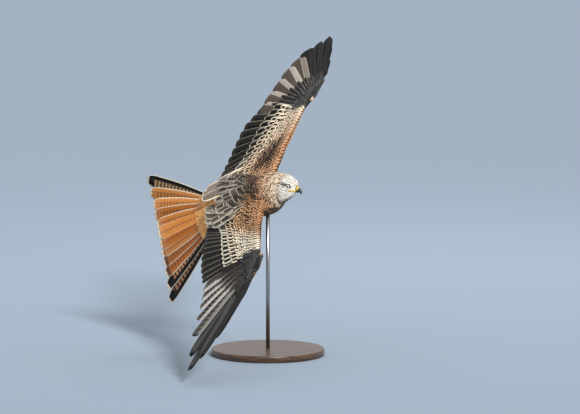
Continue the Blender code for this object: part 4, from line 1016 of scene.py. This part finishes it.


def bodyLooks(run, angle, kind):
    count = len(run)
    back = np.sin(angle)
    point = bodySkin.point(run, angle)
    # painted shade: shaded is 1 beyond the throat plane, on the underside in shadow; most feathers there take
    # the olive shade, a few keep pale rims
    shaded = eased(point @ np.array(throat["way"]) - throat["depth"], -0.004, 0.004)
    shadedFeathers = shaded * (dice.random(count) > 0.22)
    if kind == "torso":
        x = point[:, 0]
        upper = eased(back, -0.05, 0.35)
        rump = eased(x, -0.02, -0.06)
        mantle = blend(blend(blend("umber", "black", 0.65), "rufous", rump), "umber",
                eased(x, 0.055, 0.085))
        dark = blend(blend("rust", "umber", 0.4), blend("rufous", mantle, upper), upper)
        rim = blend("orange", blend(blend("orange", "buff", 0.6), "cream", 0.24) * 0.95, upper)
        # painted shade: the breast's lower side darkens toward umber, and its rims go olive where the throat
        # plane's shade falls
        chestShade = eased(x, 0.02, 0.055) * eased(back, 0.1, -0.35)
        rim = blend(rim, blend("olive", "umber", 0.45), chestShade * shadedFeathers)
        centre = 0.36 + 0.52 * upper * (1.0 - 0.6 * rump)
        return look(count, rim, rim, blend(dark, "umber", chestShade), centre=centre, aspect=2.9, spread=0.14)
    if kind == "neck":
        share = eased(run, bodySkin.runAt[bodySkin.neckStart] - 0.01, bodySkin.runAt[bodySkin.headStart])
        tone = blend(blend("orange", "buff", 0.4), blend("buff", "cream", 0.65), share)
        # painted shade: neck feathers beyond the throat plane turn olive-umber, their edges olive
        tone = blend(tone, blend("olive", "umber", 0.55), shadedFeathers * 0.95)
        edging = blend(blend("cream", "white", share), "olive", shadedFeathers * 0.6)
        centre = 0.52 - 0.26 * share + dice.normal(0.0, 0.12, count)
        return look(count, tone, edging, blend("umber", "brown", 0.4), fringe=0.1, centre=centre,
                aspect=4.0, spread=0.26)
    x, _, z = moved(birdToHead, point).T
    tone = blend("cream", paint(255, 253, 244), 0.6 + dice.random(count) * 0.3)
    rear = eased(x, -0.006, -0.028)
    tone = blend(tone, blend("buff", "cream", 0.5), rear * (0.3 + 0.6 * dice.random(count)))
    # painted shade: the head's underside and the throat beyond the plane turn olive-umber
    lower = np.maximum(shaded, 0.8 * eased(back, -0.8, -0.95))
    tone = blend(tone, blend("olive", "umber", 0.4), lower * np.maximum(shadedFeathers, 0.35) * 0.95)
    mask = eased(np.hypot(np.where(x > 0.0, x * 0.72, x * 0.62), z * 1.5), 0.0122, 0.008)
    tone = blend(tone, blend("umber", "black", 0.3), mask * 0.9)
    crown = eased(back, 0.1, 0.8)
    speck = (dice.random(count) < 0.15 + 0.35 * crown) * (1.0 - lower)
    return look(count, tone, blend(tone, "white", 0.5), blend("grey", "brown", 0.5), fringe=0.1,
            centre=0.07 * crown + 0.24 * speck + 0.16 * rear, aspect=3.4, spread=0.06)


# space between rows at the rear and at the front, with length, width and rise for each space
bodyRows = {"torso": {"gaps": (0.014, 0.0108), "length": 2.6, "width": 1.6, "rise": 0.2},
            "neck": {"gaps": (0.0092, 0.0042), "length": 3.3, "width": 1.35, "rise": 0.2},
            "head": {"gaps": (0.004, 0.0016), "length": 3.2, "width": 1.75, "rise": 0.1}}


def layBody(name, node, low, high, grid):
    coat = Coat(name, name)
    plan = bodyRows[node]
    rear, front = plan["gaps"]
    rows = []
    run = low
    while run < high:
        gap = rear + (front - rear) * (run - low) / (high - low)
        count = max(int(bodySkin.girth(run) / (gap * 1.05)), 8)
        around = (np.arange(count) + 0.5 * (len(rows) % 2) + dice.uniform(-0.22, 0.22, count)) / count
        stretch = bodySkin.stretch(np.full(count, run), around * circle)
        most = min(max(stretch.max(), 1.0), 3.5)
        kept = dice.random(count) < stretch / most * 1.15
        at = run + dice.uniform(-0.22, 0.22, count) * gap
        patch = joined(around % 1.0, (run - low) / (high - low)) * 0.97 + 0.015
        rows.append([part[kept] for part in (at, around * circle, np.full(count, gap), patch)])
        run += gap * 0.92 / most
    parts = [np.concatenate(part) for part in zip(*rows)]
    x, y, z = moved(birdToHead, bodySkin.point(*parts[:2])).T
    feathered = (np.hypot(x, z) >= 0.0066) | (np.abs(y) <= 0.012)  # all but the eyes
    runs, angles, gaps, patches = (part[feathered] for part in parts)
    t = np.array(grid[0])
    count = len(runs)
    length = gaps * plan["length"] * dice.uniform(0.88, 1.12, count)
    at = runs[:, None] - (length / np.maximum(bodySkin.stretch(runs, angles), 0.9))[:, None] * t
    turn = angles[:, None] + dice.normal(0.0, 0.05, count)[:, None] * t
    normal, around = bodySkin.frame(at, turn)
    lift = gaps[:, None] * (-0.05 + plan["rise"] * t + dice.uniform(-0.02, 0.03, count)[:, None] * t)
    shaft = bodySkin.point(at, turn) + normal * lift[..., None]
    cell = 0.006 if node == "head" else 0.01
    looks = bodyLooks(runs, angles, node)
    coat.add(shaft, normal, around, (gaps * plan["width"])[:, None], grid, looks, patches, (cell, cell),
            (0.55, 0.5), tilt=dice.normal(0.0, 0.05, (count, 1)), camber=0.22, thick=0.0004)
    coat.finish(node)


neckRun = bodySkin.runAt[bodySkin.neckStart]
headRun = bodySkin.runAt[bodySkin.headStart]
layBody("body_feathers", "torso", 0.012, neckRun + 0.004, smallGrid)
layBody("neck_feathers", "neck", neckRun - 0.002, headRun + 0.01, smallGrid)
layBody("head_feathers", "head", headRun - 0.008, bodySkin.run[-1] - 0.0006, headGrid)
print("body done")

# long feathers of the shoulders, over the wings' roots: how far back each row reaches, and how it lies

scapular = {"reach": (0.158, 0.145, 0.13, 0.114, 0.099, 0.085, 0.072, 0.06, 0.049, 0.039, 0.03, 0.021, 0.012,
                      0.004, -0.004, -0.012, -0.02),
            1: {"fall": 0.0006, "lift": 1.4, "span": 5.2, "further": 0.01, "steep": 0.0038, "drop": 0.0016},
            -1: {"fall": 0.003, "lift": 0.0, "span": 3.6, "further": 0.0, "steep": 0.002, "drop": 0.0008}}


def layScapulars():
    coat = Coat("scapulars", "wing_feathers")
    t = coverStations
    rows = len(scapular["reach"])
    for side in sides.values():
        lie = scapular[side]
        for row, reach in enumerate(scapular["reach"]):
            share = row / (rows - 1.0)
            length = 0.078 - 0.056 * share ** 0.8
            wide = 0.037 - 0.023 * share ** 0.8
            span = 6.9
            if row < 2:
                span = lie["span"]
                reach += lie["further"]
            count = int(span * 0.0092 / (wide * 0.56))
            k = -1.3 + span * (np.arange(count) + 0.25 + 0.5 * (row % 2)) / count
            k += dice.uniform(-0.12, 0.12, count)
            root = joined(0.04 - 0.004 * k, side * (0.014 + 0.0085 * k), 0.0385 - lie["fall"] * k)
            way = heading(side, 2.0 + 5.0 * k, 1.0 + lie["lift"] * k)
            k = k[:, None]
            distance = reach + 0.004 * k * (1.0 - share) - length * (1.0 - t)
            shaft = root[:, None] + way[:, None] * distance[..., None]
            arch = 0.055 * np.maximum(distance, 0.0) * (1.0 - distance / 0.115)
            steep = 0.0045 + lie["steep"] * k
            shaft[..., 2] += arch + 0.0006 + 0.0022 * t - steep * eased(-distance, -0.012, 0.04)
            shaft[..., 2] -= lie["drop"] * np.maximum(k - 2.4, 0.0) ** 2
            if row < 4:
                looks = look(count, blend("grey", "umber", 0.15), blend("cream", "white", 0.4), "umber",
                        fringe=0.25, centre=0.34, aspect=length / wide * 2.1, shaft=0.0, spread=0.14)
            else:
                inner = eased(row, 6.0, 12.0)
                rim = blend("cream", blend("orange", "buff", 0.5), inner) * (1.0 - 0.08 * inner)
                looks = look(count, blend(blend("grey", "umber", 0.5), "black", eased(row, 3.0, 6.0) * 0.8),
                        rim, fringe=0.27 - 0.03 * share, aspect=length / wide * 1.8, shaft=0.0, spread=0.15)
            patch = joined(np.linspace(0.05, 0.95, count), 0.02 + 0.028 * row + 0.5 * (side == 1))
            coat.add(shaft, zWay, np.array((0.0, side, -0.12)), wide, coverGrid, looks, patch,
                    (0.05, 0.026), (0.5, 0.62), tilt=dice.normal(-0.03, 0.03, (count, 1)), camber=0.18,
                    thick=0.0006)
    coat.finish()


layScapulars()

# thighs: short rufous feathers over the drumsticks

leg = {"side": 0.026, "ankle": (-0.062, 0.0, -0.058), "foot": (-0.11, 0.0, -0.06), "claw": 0.014}
thigh = {"hip": (0.0, 0.034, -0.044), "knee": (-0.03, 0.032, -0.052), "radii": (0.019, 0.018, 0.012, 0.006),
         "rows": 13, "around": 16, "width": 0.013}


def thighLine(side):
    ankle = np.array(leg["ankle"]) + side * leg["side"] * yWay
    hip, knee = np.array((thigh["hip"], thigh["knee"])) * (1.0, side, 1.0)
    return np.array((hip, knee, ankle + (knee - ankle) * 0.35, ankle))


def layThigh(side, name):
    coat = Coat(f"thigh_feathers_{name}", "body_feathers")
    line = thighLine(side)
    rows = thigh["rows"]
    t = smallStations
    for row in range(rows):
        count = thigh["around"] - row // 2
        angle = (np.arange(count) + 0.5 * (row % 2) + dice.uniform(-0.2, 0.2, count)) / count * circle
        place = 0.1 + 2.35 * (row + 0.5) / rows + 0.62 * t
        radius = curveAt(thigh["radii"], np.minimum(place, 3.0)) + 0.0006 + 0.0022 * t
        out = joined(0.0, np.cos(angle), np.sin(angle))[:, None]
        looks = look(count, blend("rufous", "orange", 0.3), "orange", "umber", fringe=0.2, centre=0.12,
                aspect=2.2)
        shaft = curveAt(line, place) + out * radius[:, None]
        patch = joined(angle / circle % 1.0 * 0.96 + 0.02, (row + 0.5) / rows)
        coat.add(shaft, out, np.cross(out, xWay), thigh["width"], smallGrid, looks, patch, (0.04, 0.05),
                (0.5, 0.5), camber=0.2)
    coat.finish(f"thigh_{name}")


for name, side in sides.items():
    layThigh(side, name)

# the skin under the feathers: body, wings and thighs grown into one


def ovalRing(centre, across, up, wide, above, below=None, sides=24):
    below = above if below is None else below
    points = []
    for i in range(sides):
        angle = circle * i / sides
        sine = math.sin(angle)
        high = sine * (above if sine > 0.0 else below)
        points.append(Vector(centre) + Vector(across) * (wide * math.cos(angle)) + Vector(up) * high)
    return points


def tube(points, radii, sides=16):
    points = [Vector(point) for point in points]
    rings = []
    for i, (point, radius) in enumerate(zip(points, radii)):
        way = (points[min(i + 1, len(points) - 1)] - points[max(i - 1, 0)]).normalized()
        side = way.cross(Vector(zWay))
        side = side.normalized() if side.length > 0.05 else Vector(yWay)
        rings.append(ovalRing(point, side, side.cross(way), radius, radius, sides=sides))
    return loft(rings)


def smoothTube(line, radii, count, sides):
    return tube(curve(line, count), curve(radii, count), sides)


def limb(start, span, flesh, inset):
    normal = unit(np.cross(-xWay, span))
    normal = normal * np.sign(normal[2])
    profile = ((0.0, 0.0), (0.05, 0.36), (0.2, 0.55), (0.45, 0.5), (0.75, 0.32), (1.0, 0.16),
               (1.0, -0.16), (0.75, -0.24), (0.45, -0.34), (0.2, -0.38), (0.05, -0.26))
    rings = []
    for t, chord, thick, ahead in zip(*flesh.values()):
        lead = start + span * t + xWay * (ahead - inset)
        chord = chord - 2.0 * inset
        thick = max(thick - 1.6 * inset, 0.0035)
        rings.append([Vector(lead - xWay * (chord * x) + normal * (thick * y)) for x, y in profile])
    return loft(rings)


def addShape(whole, part):
    mesh = settled("part", part)
    whole.from_mesh(mesh)
    bpy.data.meshes.remove(mesh)


def growSkin():
    inset = 0.0016
    whole = bmesh.new()
    angles = np.linspace(0.0, circle, 33)[:-1]
    rings = []
    for run in np.linspace(0.0, bodySkin.run[-1] - 0.0005, 90):
        runs = np.full_like(angles, run)
        inside = bodySkin.point(runs, angles) - bodySkin.frame(runs, angles)[0] * inset
        rings.append([Vector(point) for point in inside])
    addShape(whole, loft(rings))
    for wing in wings.values():
        addShape(whole, limb(wing["shoulder"], wing["wrist"] - wing["shoulder"], armFlesh, inset))
        addShape(whole, limb(wing["wrist"], wing["hand"] * (handStep * primaries + 0.002), handFlesh,
                inset * 0.6))
    for side in sides.values():
        addShape(whole, tube(thighLine(side), [radius - inset for radius in thigh["radii"]]))
    bmesh.ops.transform(whole, matrix=birdToWorld, verts=whole.verts)
    rough = bpy.data.objects.new("rough", settled("rough", whole))
    bpy.context.scene.collection.objects.link(rough)
    remesh = rough.modifiers.new("remesh", "REMESH")
    remesh.mode = "VOXEL"
    remesh.voxel_size = 0.0026
    rough.modifiers.new("soften", "SMOOTH").iterations = 2
    made = bpy.data.meshes.new_from_object(rough.evaluated_get(bpy.context.evaluated_depsgraph_get()))
    bpy.data.objects.remove(rough)
    made.name = "skin"
    made.shade_smooth()
    points = np.zeros(len(made.vertices) * 3)
    made.vertices.foreach_get("co", points)
    points = moved(birdToWorld.inverted(), points.reshape(-1, 3))
    x, y, z = points.T
    headX, headY, headZ = moved(birdToHead, points).T
    colour = blend(blend("rust", "umber", eased(z, -0.02, 0.02)), "umber", eased(np.abs(y), 0.05, 0.07))
    colour = blend(colour, "rufous", eased(x, 0.075, 0.095) * (np.abs(y) < 0.06))
    paler = eased(headX, -0.06, -0.03) * eased(headZ, -0.075, -0.06) * (x > 0.07)
    colour = blend(colour, tint("ash") * 0.75, paler)
    nearEye = eased(np.hypot(headX, headZ), 0.0095, 0.007) * (np.abs(headY) > 0.012)
    colour = blend(colour, tint("umber") * 0.5, nearEye)
    setLayer(made, "tone", np.c_[colour, np.ones(len(colour))])
    shade = Shade("skin", Roughness=0.8)
    spot = shade.where()
    shade.feed("Base Color", shade.dimmed(shade.attribute("tone"), 0.75 + shade.noise(spot, 300.0) * 0.5))
    shade.bump(shade.noise(spot, 900.0), 0.0003, 0.5)
    place("skin", made, "body_feathers", [shade.material], ("torso", "neck", "head"))
    print(f"skin: {len(made.polygons)} faces")


growSkin()

# eyes, cere and bill, in the head's axes


def ballShape(radius, centre, rings=32, around=48):
    shape = bmesh.new()
    bmesh.ops.create_uvsphere(shape, u_segments=around, v_segments=rings, radius=radius,
            matrix=Matrix.Rotation(math.radians(90.0), 4, "X"))
    bmesh.ops.translate(shape, vec=centre, verts=shape.verts)
    return shape


def makeEyes():
    shade = Shade("eye", Roughness=0.06, Coat_Weight=1.0, Coat_Roughness=0.02, IOR=1.38)
    gaze = shade.attribute("gaze", 1)
    fromPupil = shade.parts(gaze)[0]
    rays = shade.node("ShaderNodeTexNoise", {"noise_dimensions": "2D"}, {0: gaze, "Scale": 40.0})
    iris = shade.mix(shade.step(fromPupil, 0.0038, 0.0058), paint(250, 248, 232), paint(226, 214, 176))
    iris = shade.dimmed(iris, 0.8 + rays * 0.4)
    colour = shade.mix(shade.step(fromPupil, 0.0027, 0.0031), paint(6, 6, 8), iris)
    shade.feed("Base Color", shade.mix(shade.step(fromPupil, 0.0057, 0.0062), colour, paint(20, 16, 14)))
    lids = speckled("eyelids", grains(900.0), (12, 10, 9), (30, 26, 23), Roughness=0.55)
    for name, side in sides.items():
        shape = ballShape(eye["radius"], (0.0, side * eye["side"], 0.0))
        gazes = [(math.hypot(v.co.x, v.co.z) if v.co.y * side > eye["side"] * 0.9 else 0.02,
                math.atan2(v.co.z, v.co.x), 0.0) for v in shape.verts]
        ball = grown(f"eyeball_{name}", shape, "eye", shade.material, (f"eye_{name}",), headToWorld)
        setLayer(ball.data, "gaze", np.array(gazes))
        rings = []
        for i in range(40):
            angle = circle * i / 40
            out = Vector((math.cos(angle), 0.0, math.sin(angle)))
            brow = max(out.z, 0.0)
            radius = eye["lid"] - 0.0004 * brow
            centre = (radius * out.x * 1.06, side * (0.0198 + 0.0005 * brow), radius * out.z * 0.96)
            rings.append(ovalRing(centre, out, yWay, 0.0012 + 0.0004 * brow, 0.001 + 0.0004 * brow,
                    sides=10))
        rings.append(rings[0])
        grown(f"eyelids_{name}", loft(rings, closed=False), "head_feathers", lids, matrix=headToWorld)


makeEyes()

# the bill. cere and lower: forward of its back, half width, half height, z. hook: turn, forward, down, halves

bill = {
    "back": 0.0213, "tip": 0.04, "nostril": (0.0036, 0.0063, -0.0004),
    "cere": ((-0.003, 0.0074, 0.006, -0.002), (0.0, 0.0075, 0.0062, -0.002), (0.0016, 0.0073, 0.0063, -0.002),
             (0.0032, 0.0069, 0.0062, -0.0021), (0.005, 0.0062, 0.006, -0.0023),
             (0.0062, 0.0057, 0.0057, -0.0024), (0.0068, 0.005, 0.0052, -0.0025)),
    "hook": ((0.0, -0.04, 0.0024, 0.005, 0.0053), (0.0, 0.1, 0.0025, 0.0051, 0.0055),
             (0.0, 0.28, 0.0028, 0.0048, 0.0053), (0.35, 0.58, 0.0042, 0.0042, 0.0048),
             (0.65, 0.82, 0.0068, 0.0033, 0.0041), (1.0, 0.93, 0.01, 0.0024, 0.003),
             (1.3, 0.97, 0.0128, 0.0015, 0.0018), (1.5, 0.95, 0.0148, 0.0005, 0.0006)),
    "lower": ((-0.004, 0.0066, 0.0026, -0.0114), (0.0, 0.0066, 0.0026, -0.0114),
              (0.006, 0.0055, 0.0024, -0.0112), (0.01, 0.0038, 0.0018, -0.0108),
              (0.0125, 0.0018, 0.0008, -0.0104)),
    "gape": ((0.024, 0.0072, -0.0084), (0.0205, 0.0108, -0.0086), (0.0155, 0.0158, -0.0094),
             (0.01, 0.019, -0.0104), (0.0055, 0.021, -0.011)),
    "gapeRadii": (0.0008, 0.0011, 0.0012, 0.0011, 0.0004)}


def billOvals(rows, around):
    return loft([ovalRing((bill["back"] + x, 0.0, z), yWay, zWay, wide, high, sides=around)
            for x, wide, high, z in rows])


def makeBill():
    horn = speckled("bill_horn", grains(260.0, 3.0), (30, 33, 38), (66, 70, 76), (0.24, 0.2), (0.0002, 0.4),
            Coat_Weight=0.25, Coat_Roughness=0.25)
    skin = speckled("cere_skin", grains(1500.0), (206, 168, 44), (240, 206, 84), None, (0.0002, 0.6),
            Roughness=0.42, Subsurface_Weight=0.15, Subsurface_Scale=0.002)
    dark = Shade("nostril", Roughness=0.7, Base_Color=(0.02, 0.014, 0.008, 1.0))
    back = bill["back"]
    grown("cere_front", billOvals(bill["cere"], 32), "cere_skin", skin, ("cere",), headToWorld)
    x, y, z = bill["nostril"]
    for side in sides.values():
        hole = ballShape(0.001, (0.0, 0.0, 0.0), 12, 16)
        turn = Matrix.Translation((back + x, side * y, z)) @ Matrix.Rotation(0.5, 4, "Y")
        bmesh.ops.transform(hole, matrix=turn @ Matrix.Diagonal((1.6, 0.7, 0.8, 1.0)), verts=hole.verts)
        grown(f"nostril_{side}", hole, "cere_skin", dark.material, (), headToWorld)
    start = back + bill["cere"][-1][0]
    rings = []
    for t, forward, down, wide, high in curve(bill["hook"], 36):
        centre = (start + (bill["tip"] - start) * forward, 0.0, -down)
        rings.append(ovalRing(centre, yWay, (math.sin(t), 0.0, math.cos(t)), wide, high, sides=32))
    grown("bill_hook", loft(rings), "bill_horn", horn, ("bill_upper",), headToWorld)
    lower = billOvals(curve(bill["lower"], 18), 28)
    grown("bill_below", lower, "bill_horn", horn, ("bill_lower",), headToWorld)
    for name, side in sides.items():
        for offset, rank in ((0.0009, "upper"), (-0.0011, "lower")):
            line = np.array(bill["gape"]) * (1.0, side, 1.0)
            line[:, 2] += offset * np.array((1.0, 1.0, 1.0, 1.0, 0.4))
            gape = smoothTube(line, bill["gapeRadii"], 24, 12)
            grown(f"gape_{rank}_{name}", gape, "cere_skin", skin, (), headToWorld)


makeBill()

# legs folded back, toes half closed: each toe's spread, length and way

toes = ((-0.3, 0.026, 1), (0.0, 0.033, 1), (0.3, 0.026, 1), (0.1, 0.016, -1))


def makeLegs():
    def plates(shade):
        edges = {"feature": "DISTANCE_TO_EDGE"}
        cells = shade.node("ShaderNodeTexVoronoi", edges, {0: shade.where(), "Scale": 620.0})
        return shade.step(cells, 0.02, 0.14)

    scales = speckled("leg_skin", plates, (150, 112, 30), (232, 192, 66), None, (0.0004, 0.8),
            Roughness=0.5, Subsurface_Weight=0.1, Subsurface_Scale=0.002)
    claw = speckled("claws", grains(300.0), (18, 18, 20), (48, 46, 46), Roughness=0.3, Coat_Weight=0.3)
    for name, side in sides.items():
        ankle = Vector(leg["ankle"]) + Vector(yWay) * (side * leg["side"])
        foot = Vector(leg["foot"]) + Vector(yWay) * (side * leg["side"] * 0.9)
        along = (foot - ankle).normalized()
        whole = bmesh.new()
        claws = bmesh.new()
        line = [ankle - along * 0.006, ankle + along * 0.012, foot - along * 0.008, foot,
                foot + along * 0.006, foot + along * 0.0115]
        addShape(whole, smoothTube(line, (0.005, 0.0041, 0.004, 0.0051, 0.0056, 0.004), 40, 20))
        for spread, length, forward in toes:
            way = Vector((along.x * forward, spread * side, 0.0)).normalized()
            points = []
            radii = []
            for k in range(25):
                t = k / 24
                down = Vector((0.0, 0.0, -0.5 * t * t * length - 0.002))
                points.append(foot + along * 0.006 + way * (length * t * (1.0 - 0.25 * t)) + down)
                radii.append(0.0035 - 0.0011 * t + 0.00045 * math.sin(t * length / 0.0085 * circle))
            addShape(whole, tube(points, radii))
            onward = (points[-1] - points[-2]).normalized()
            nail = []
            for k in range(-2, 15):
                t = k / 14
                bend = (Vector((0.0, 0.0, -0.45)) - way * 0.35) * (leg["claw"] * t * abs(t))
                nail.append(points[-1] + onward * (leg["claw"] * t) + bend)
            radii = [0.0018 * (1.0 - max(k, 0) / 14) + 0.0002 for k in range(-2, 15)]
            addShape(claws, tube(nail, radii, 14))
        grown(f"foot_{name}", whole, "leg_skin", scales, (f"leg_{name}",))
        grown(f"claws_{name}", claws, "bill_horn", claw)


makeLegs()

# the stand

stand = {"radius": 0.17, "thickness": 0.02, "round": 0.004, "rod": 0.006, "gap": 0.0003}


def makeStand():
    wood = Shade("stand_wood", Roughness=0.38, Coat_Weight=0.3, Coat_Roughness=0.2)
    x, y, z = wood.parts(wood.where())
    along = wood.node("ShaderNodeCombineXYZ", {}, {0: x * 3.0, 1: y * 40.0, 2: z * 40.0})
    grain = wood.noise(along, 4.0, 5.0)
    wood.feed("Base Color", wood.mix(wood.step(grain, 0.35, 0.65), paint(58, 40, 28), paint(96, 68, 46)))
    wood.feed("Roughness", 0.34 + grain * 0.12)
    wood.bump(grain, 0.0002, 0.3)
    steel = speckled("stand_steel", grains(400.0), (150, 152, 154), (176, 178, 180), (0.24, 0.12),
            Metallic=1.0)
    inner = stand["radius"] - stand["round"]
    shoulder = stand["thickness"] - stand["round"]
    profile = [(stand["radius"], 0.0), (stand["radius"], shoulder)]
    profile += [(inner + stand["round"] * math.cos(a), shoulder + stand["round"] * math.sin(a))
            for a in np.linspace(0.2, math.pi / 2, 6)]
    low = stand["thickness"] + stand["gap"]
    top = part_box("stand_rod")[1].z
    stem = [(stand["rod"], z) for z in (low, (low + top) / 2, top)]
    for name, node, slot, line, around, material in (
            ("stand_foot", "stand_base", "stand_wood", profile, 128, wood.material),
            ("stand_stem", "stand_rod", "stand_steel", stem, 48, steel)):
        shape = loft([ovalRing((0.0, 0.0, z), xWay, yWay, r, r, sides=around) for r, z in line])
        piece = grown(name, shape, slot, material, (node,), Matrix.Identity(4), smooth=False)
        for face in piece.data.polygons:
            face.use_smooth = abs(face.normal.z) < 0.98


makeStand()
print("stand done")

# floor, backdrop, light and camera

stage = {"tilt": 7.0, "right": 0.114, "down": 0.03, "away": 14.0, "lens": 289.7}
lights = {"key": ("SUN", (1.5, -3.4, 2.9), "angle", 0.22, 3.4),
          "rim": ("AREA", (0.8, 2.4, 3.0), "size", 1.6, 30.0)}


def added(name, data, spot):
    thing = bpy.data.objects.new(name, data)
    thing.location = spot
    bpy.context.scene.collection.objects.link(thing)
    return thing


def makeStage():
    scene = bpy.context.scene
    ground = bmesh.new()
    bmesh.ops.create_grid(ground, x_segments=1, y_segments=1, size=90.0)
    floor = added("floor", settled("floor", ground), (0.0, 0.0, -0.0005))
    paper = Shade("paper", Roughness=0.9, Base_Color=(0.285, 0.35, 0.425, 1.0))
    floor.data.materials.append(paper.material)
    for name, (kind, spot, extent, size, power) in lights.items():
        lamp = bpy.data.lights.new(name, kind)
        lamp.energy = power
        setattr(lamp, extent, size)
        aim = Vector((0.0, 0.0, 0.45)) - Vector(spot)
        added(name, lamp, spot).rotation_euler = aim.to_track_quat("-Z", "Y").to_euler()
    scene.world = bpy.data.worlds.new("studio")
    scene.world.use_nodes = True
    sky = scene.world.node_tree.nodes["Background"].inputs
    sky[0].default_value = (0.95, 0.97, 1.0, 1.0)
    sky[1].default_value = 0.62
    lens = bpy.data.cameras.new("camera")
    lens.sensor_width = 36.0
    lens.lens = stage["lens"]
    lens.clip_start = 0.5
    lens.clip_end = 80.0
    tilt = math.radians(stage["tilt"])
    up = Vector((0.0, math.sin(tilt), math.cos(tilt)))
    toward = Vector((0.0, -math.cos(tilt), math.sin(tilt)))
    target = birdToWorld.translation + Vector(xWay) * stage["right"] - up * stage["down"]
    scene.camera = added("camera", lens, target + toward * stage["away"])
    scene.camera.rotation_euler = (math.radians(90.0) - tilt, 0.0, 0.0)
    scene.view_settings.view_transform = "Standard"


makeStage()
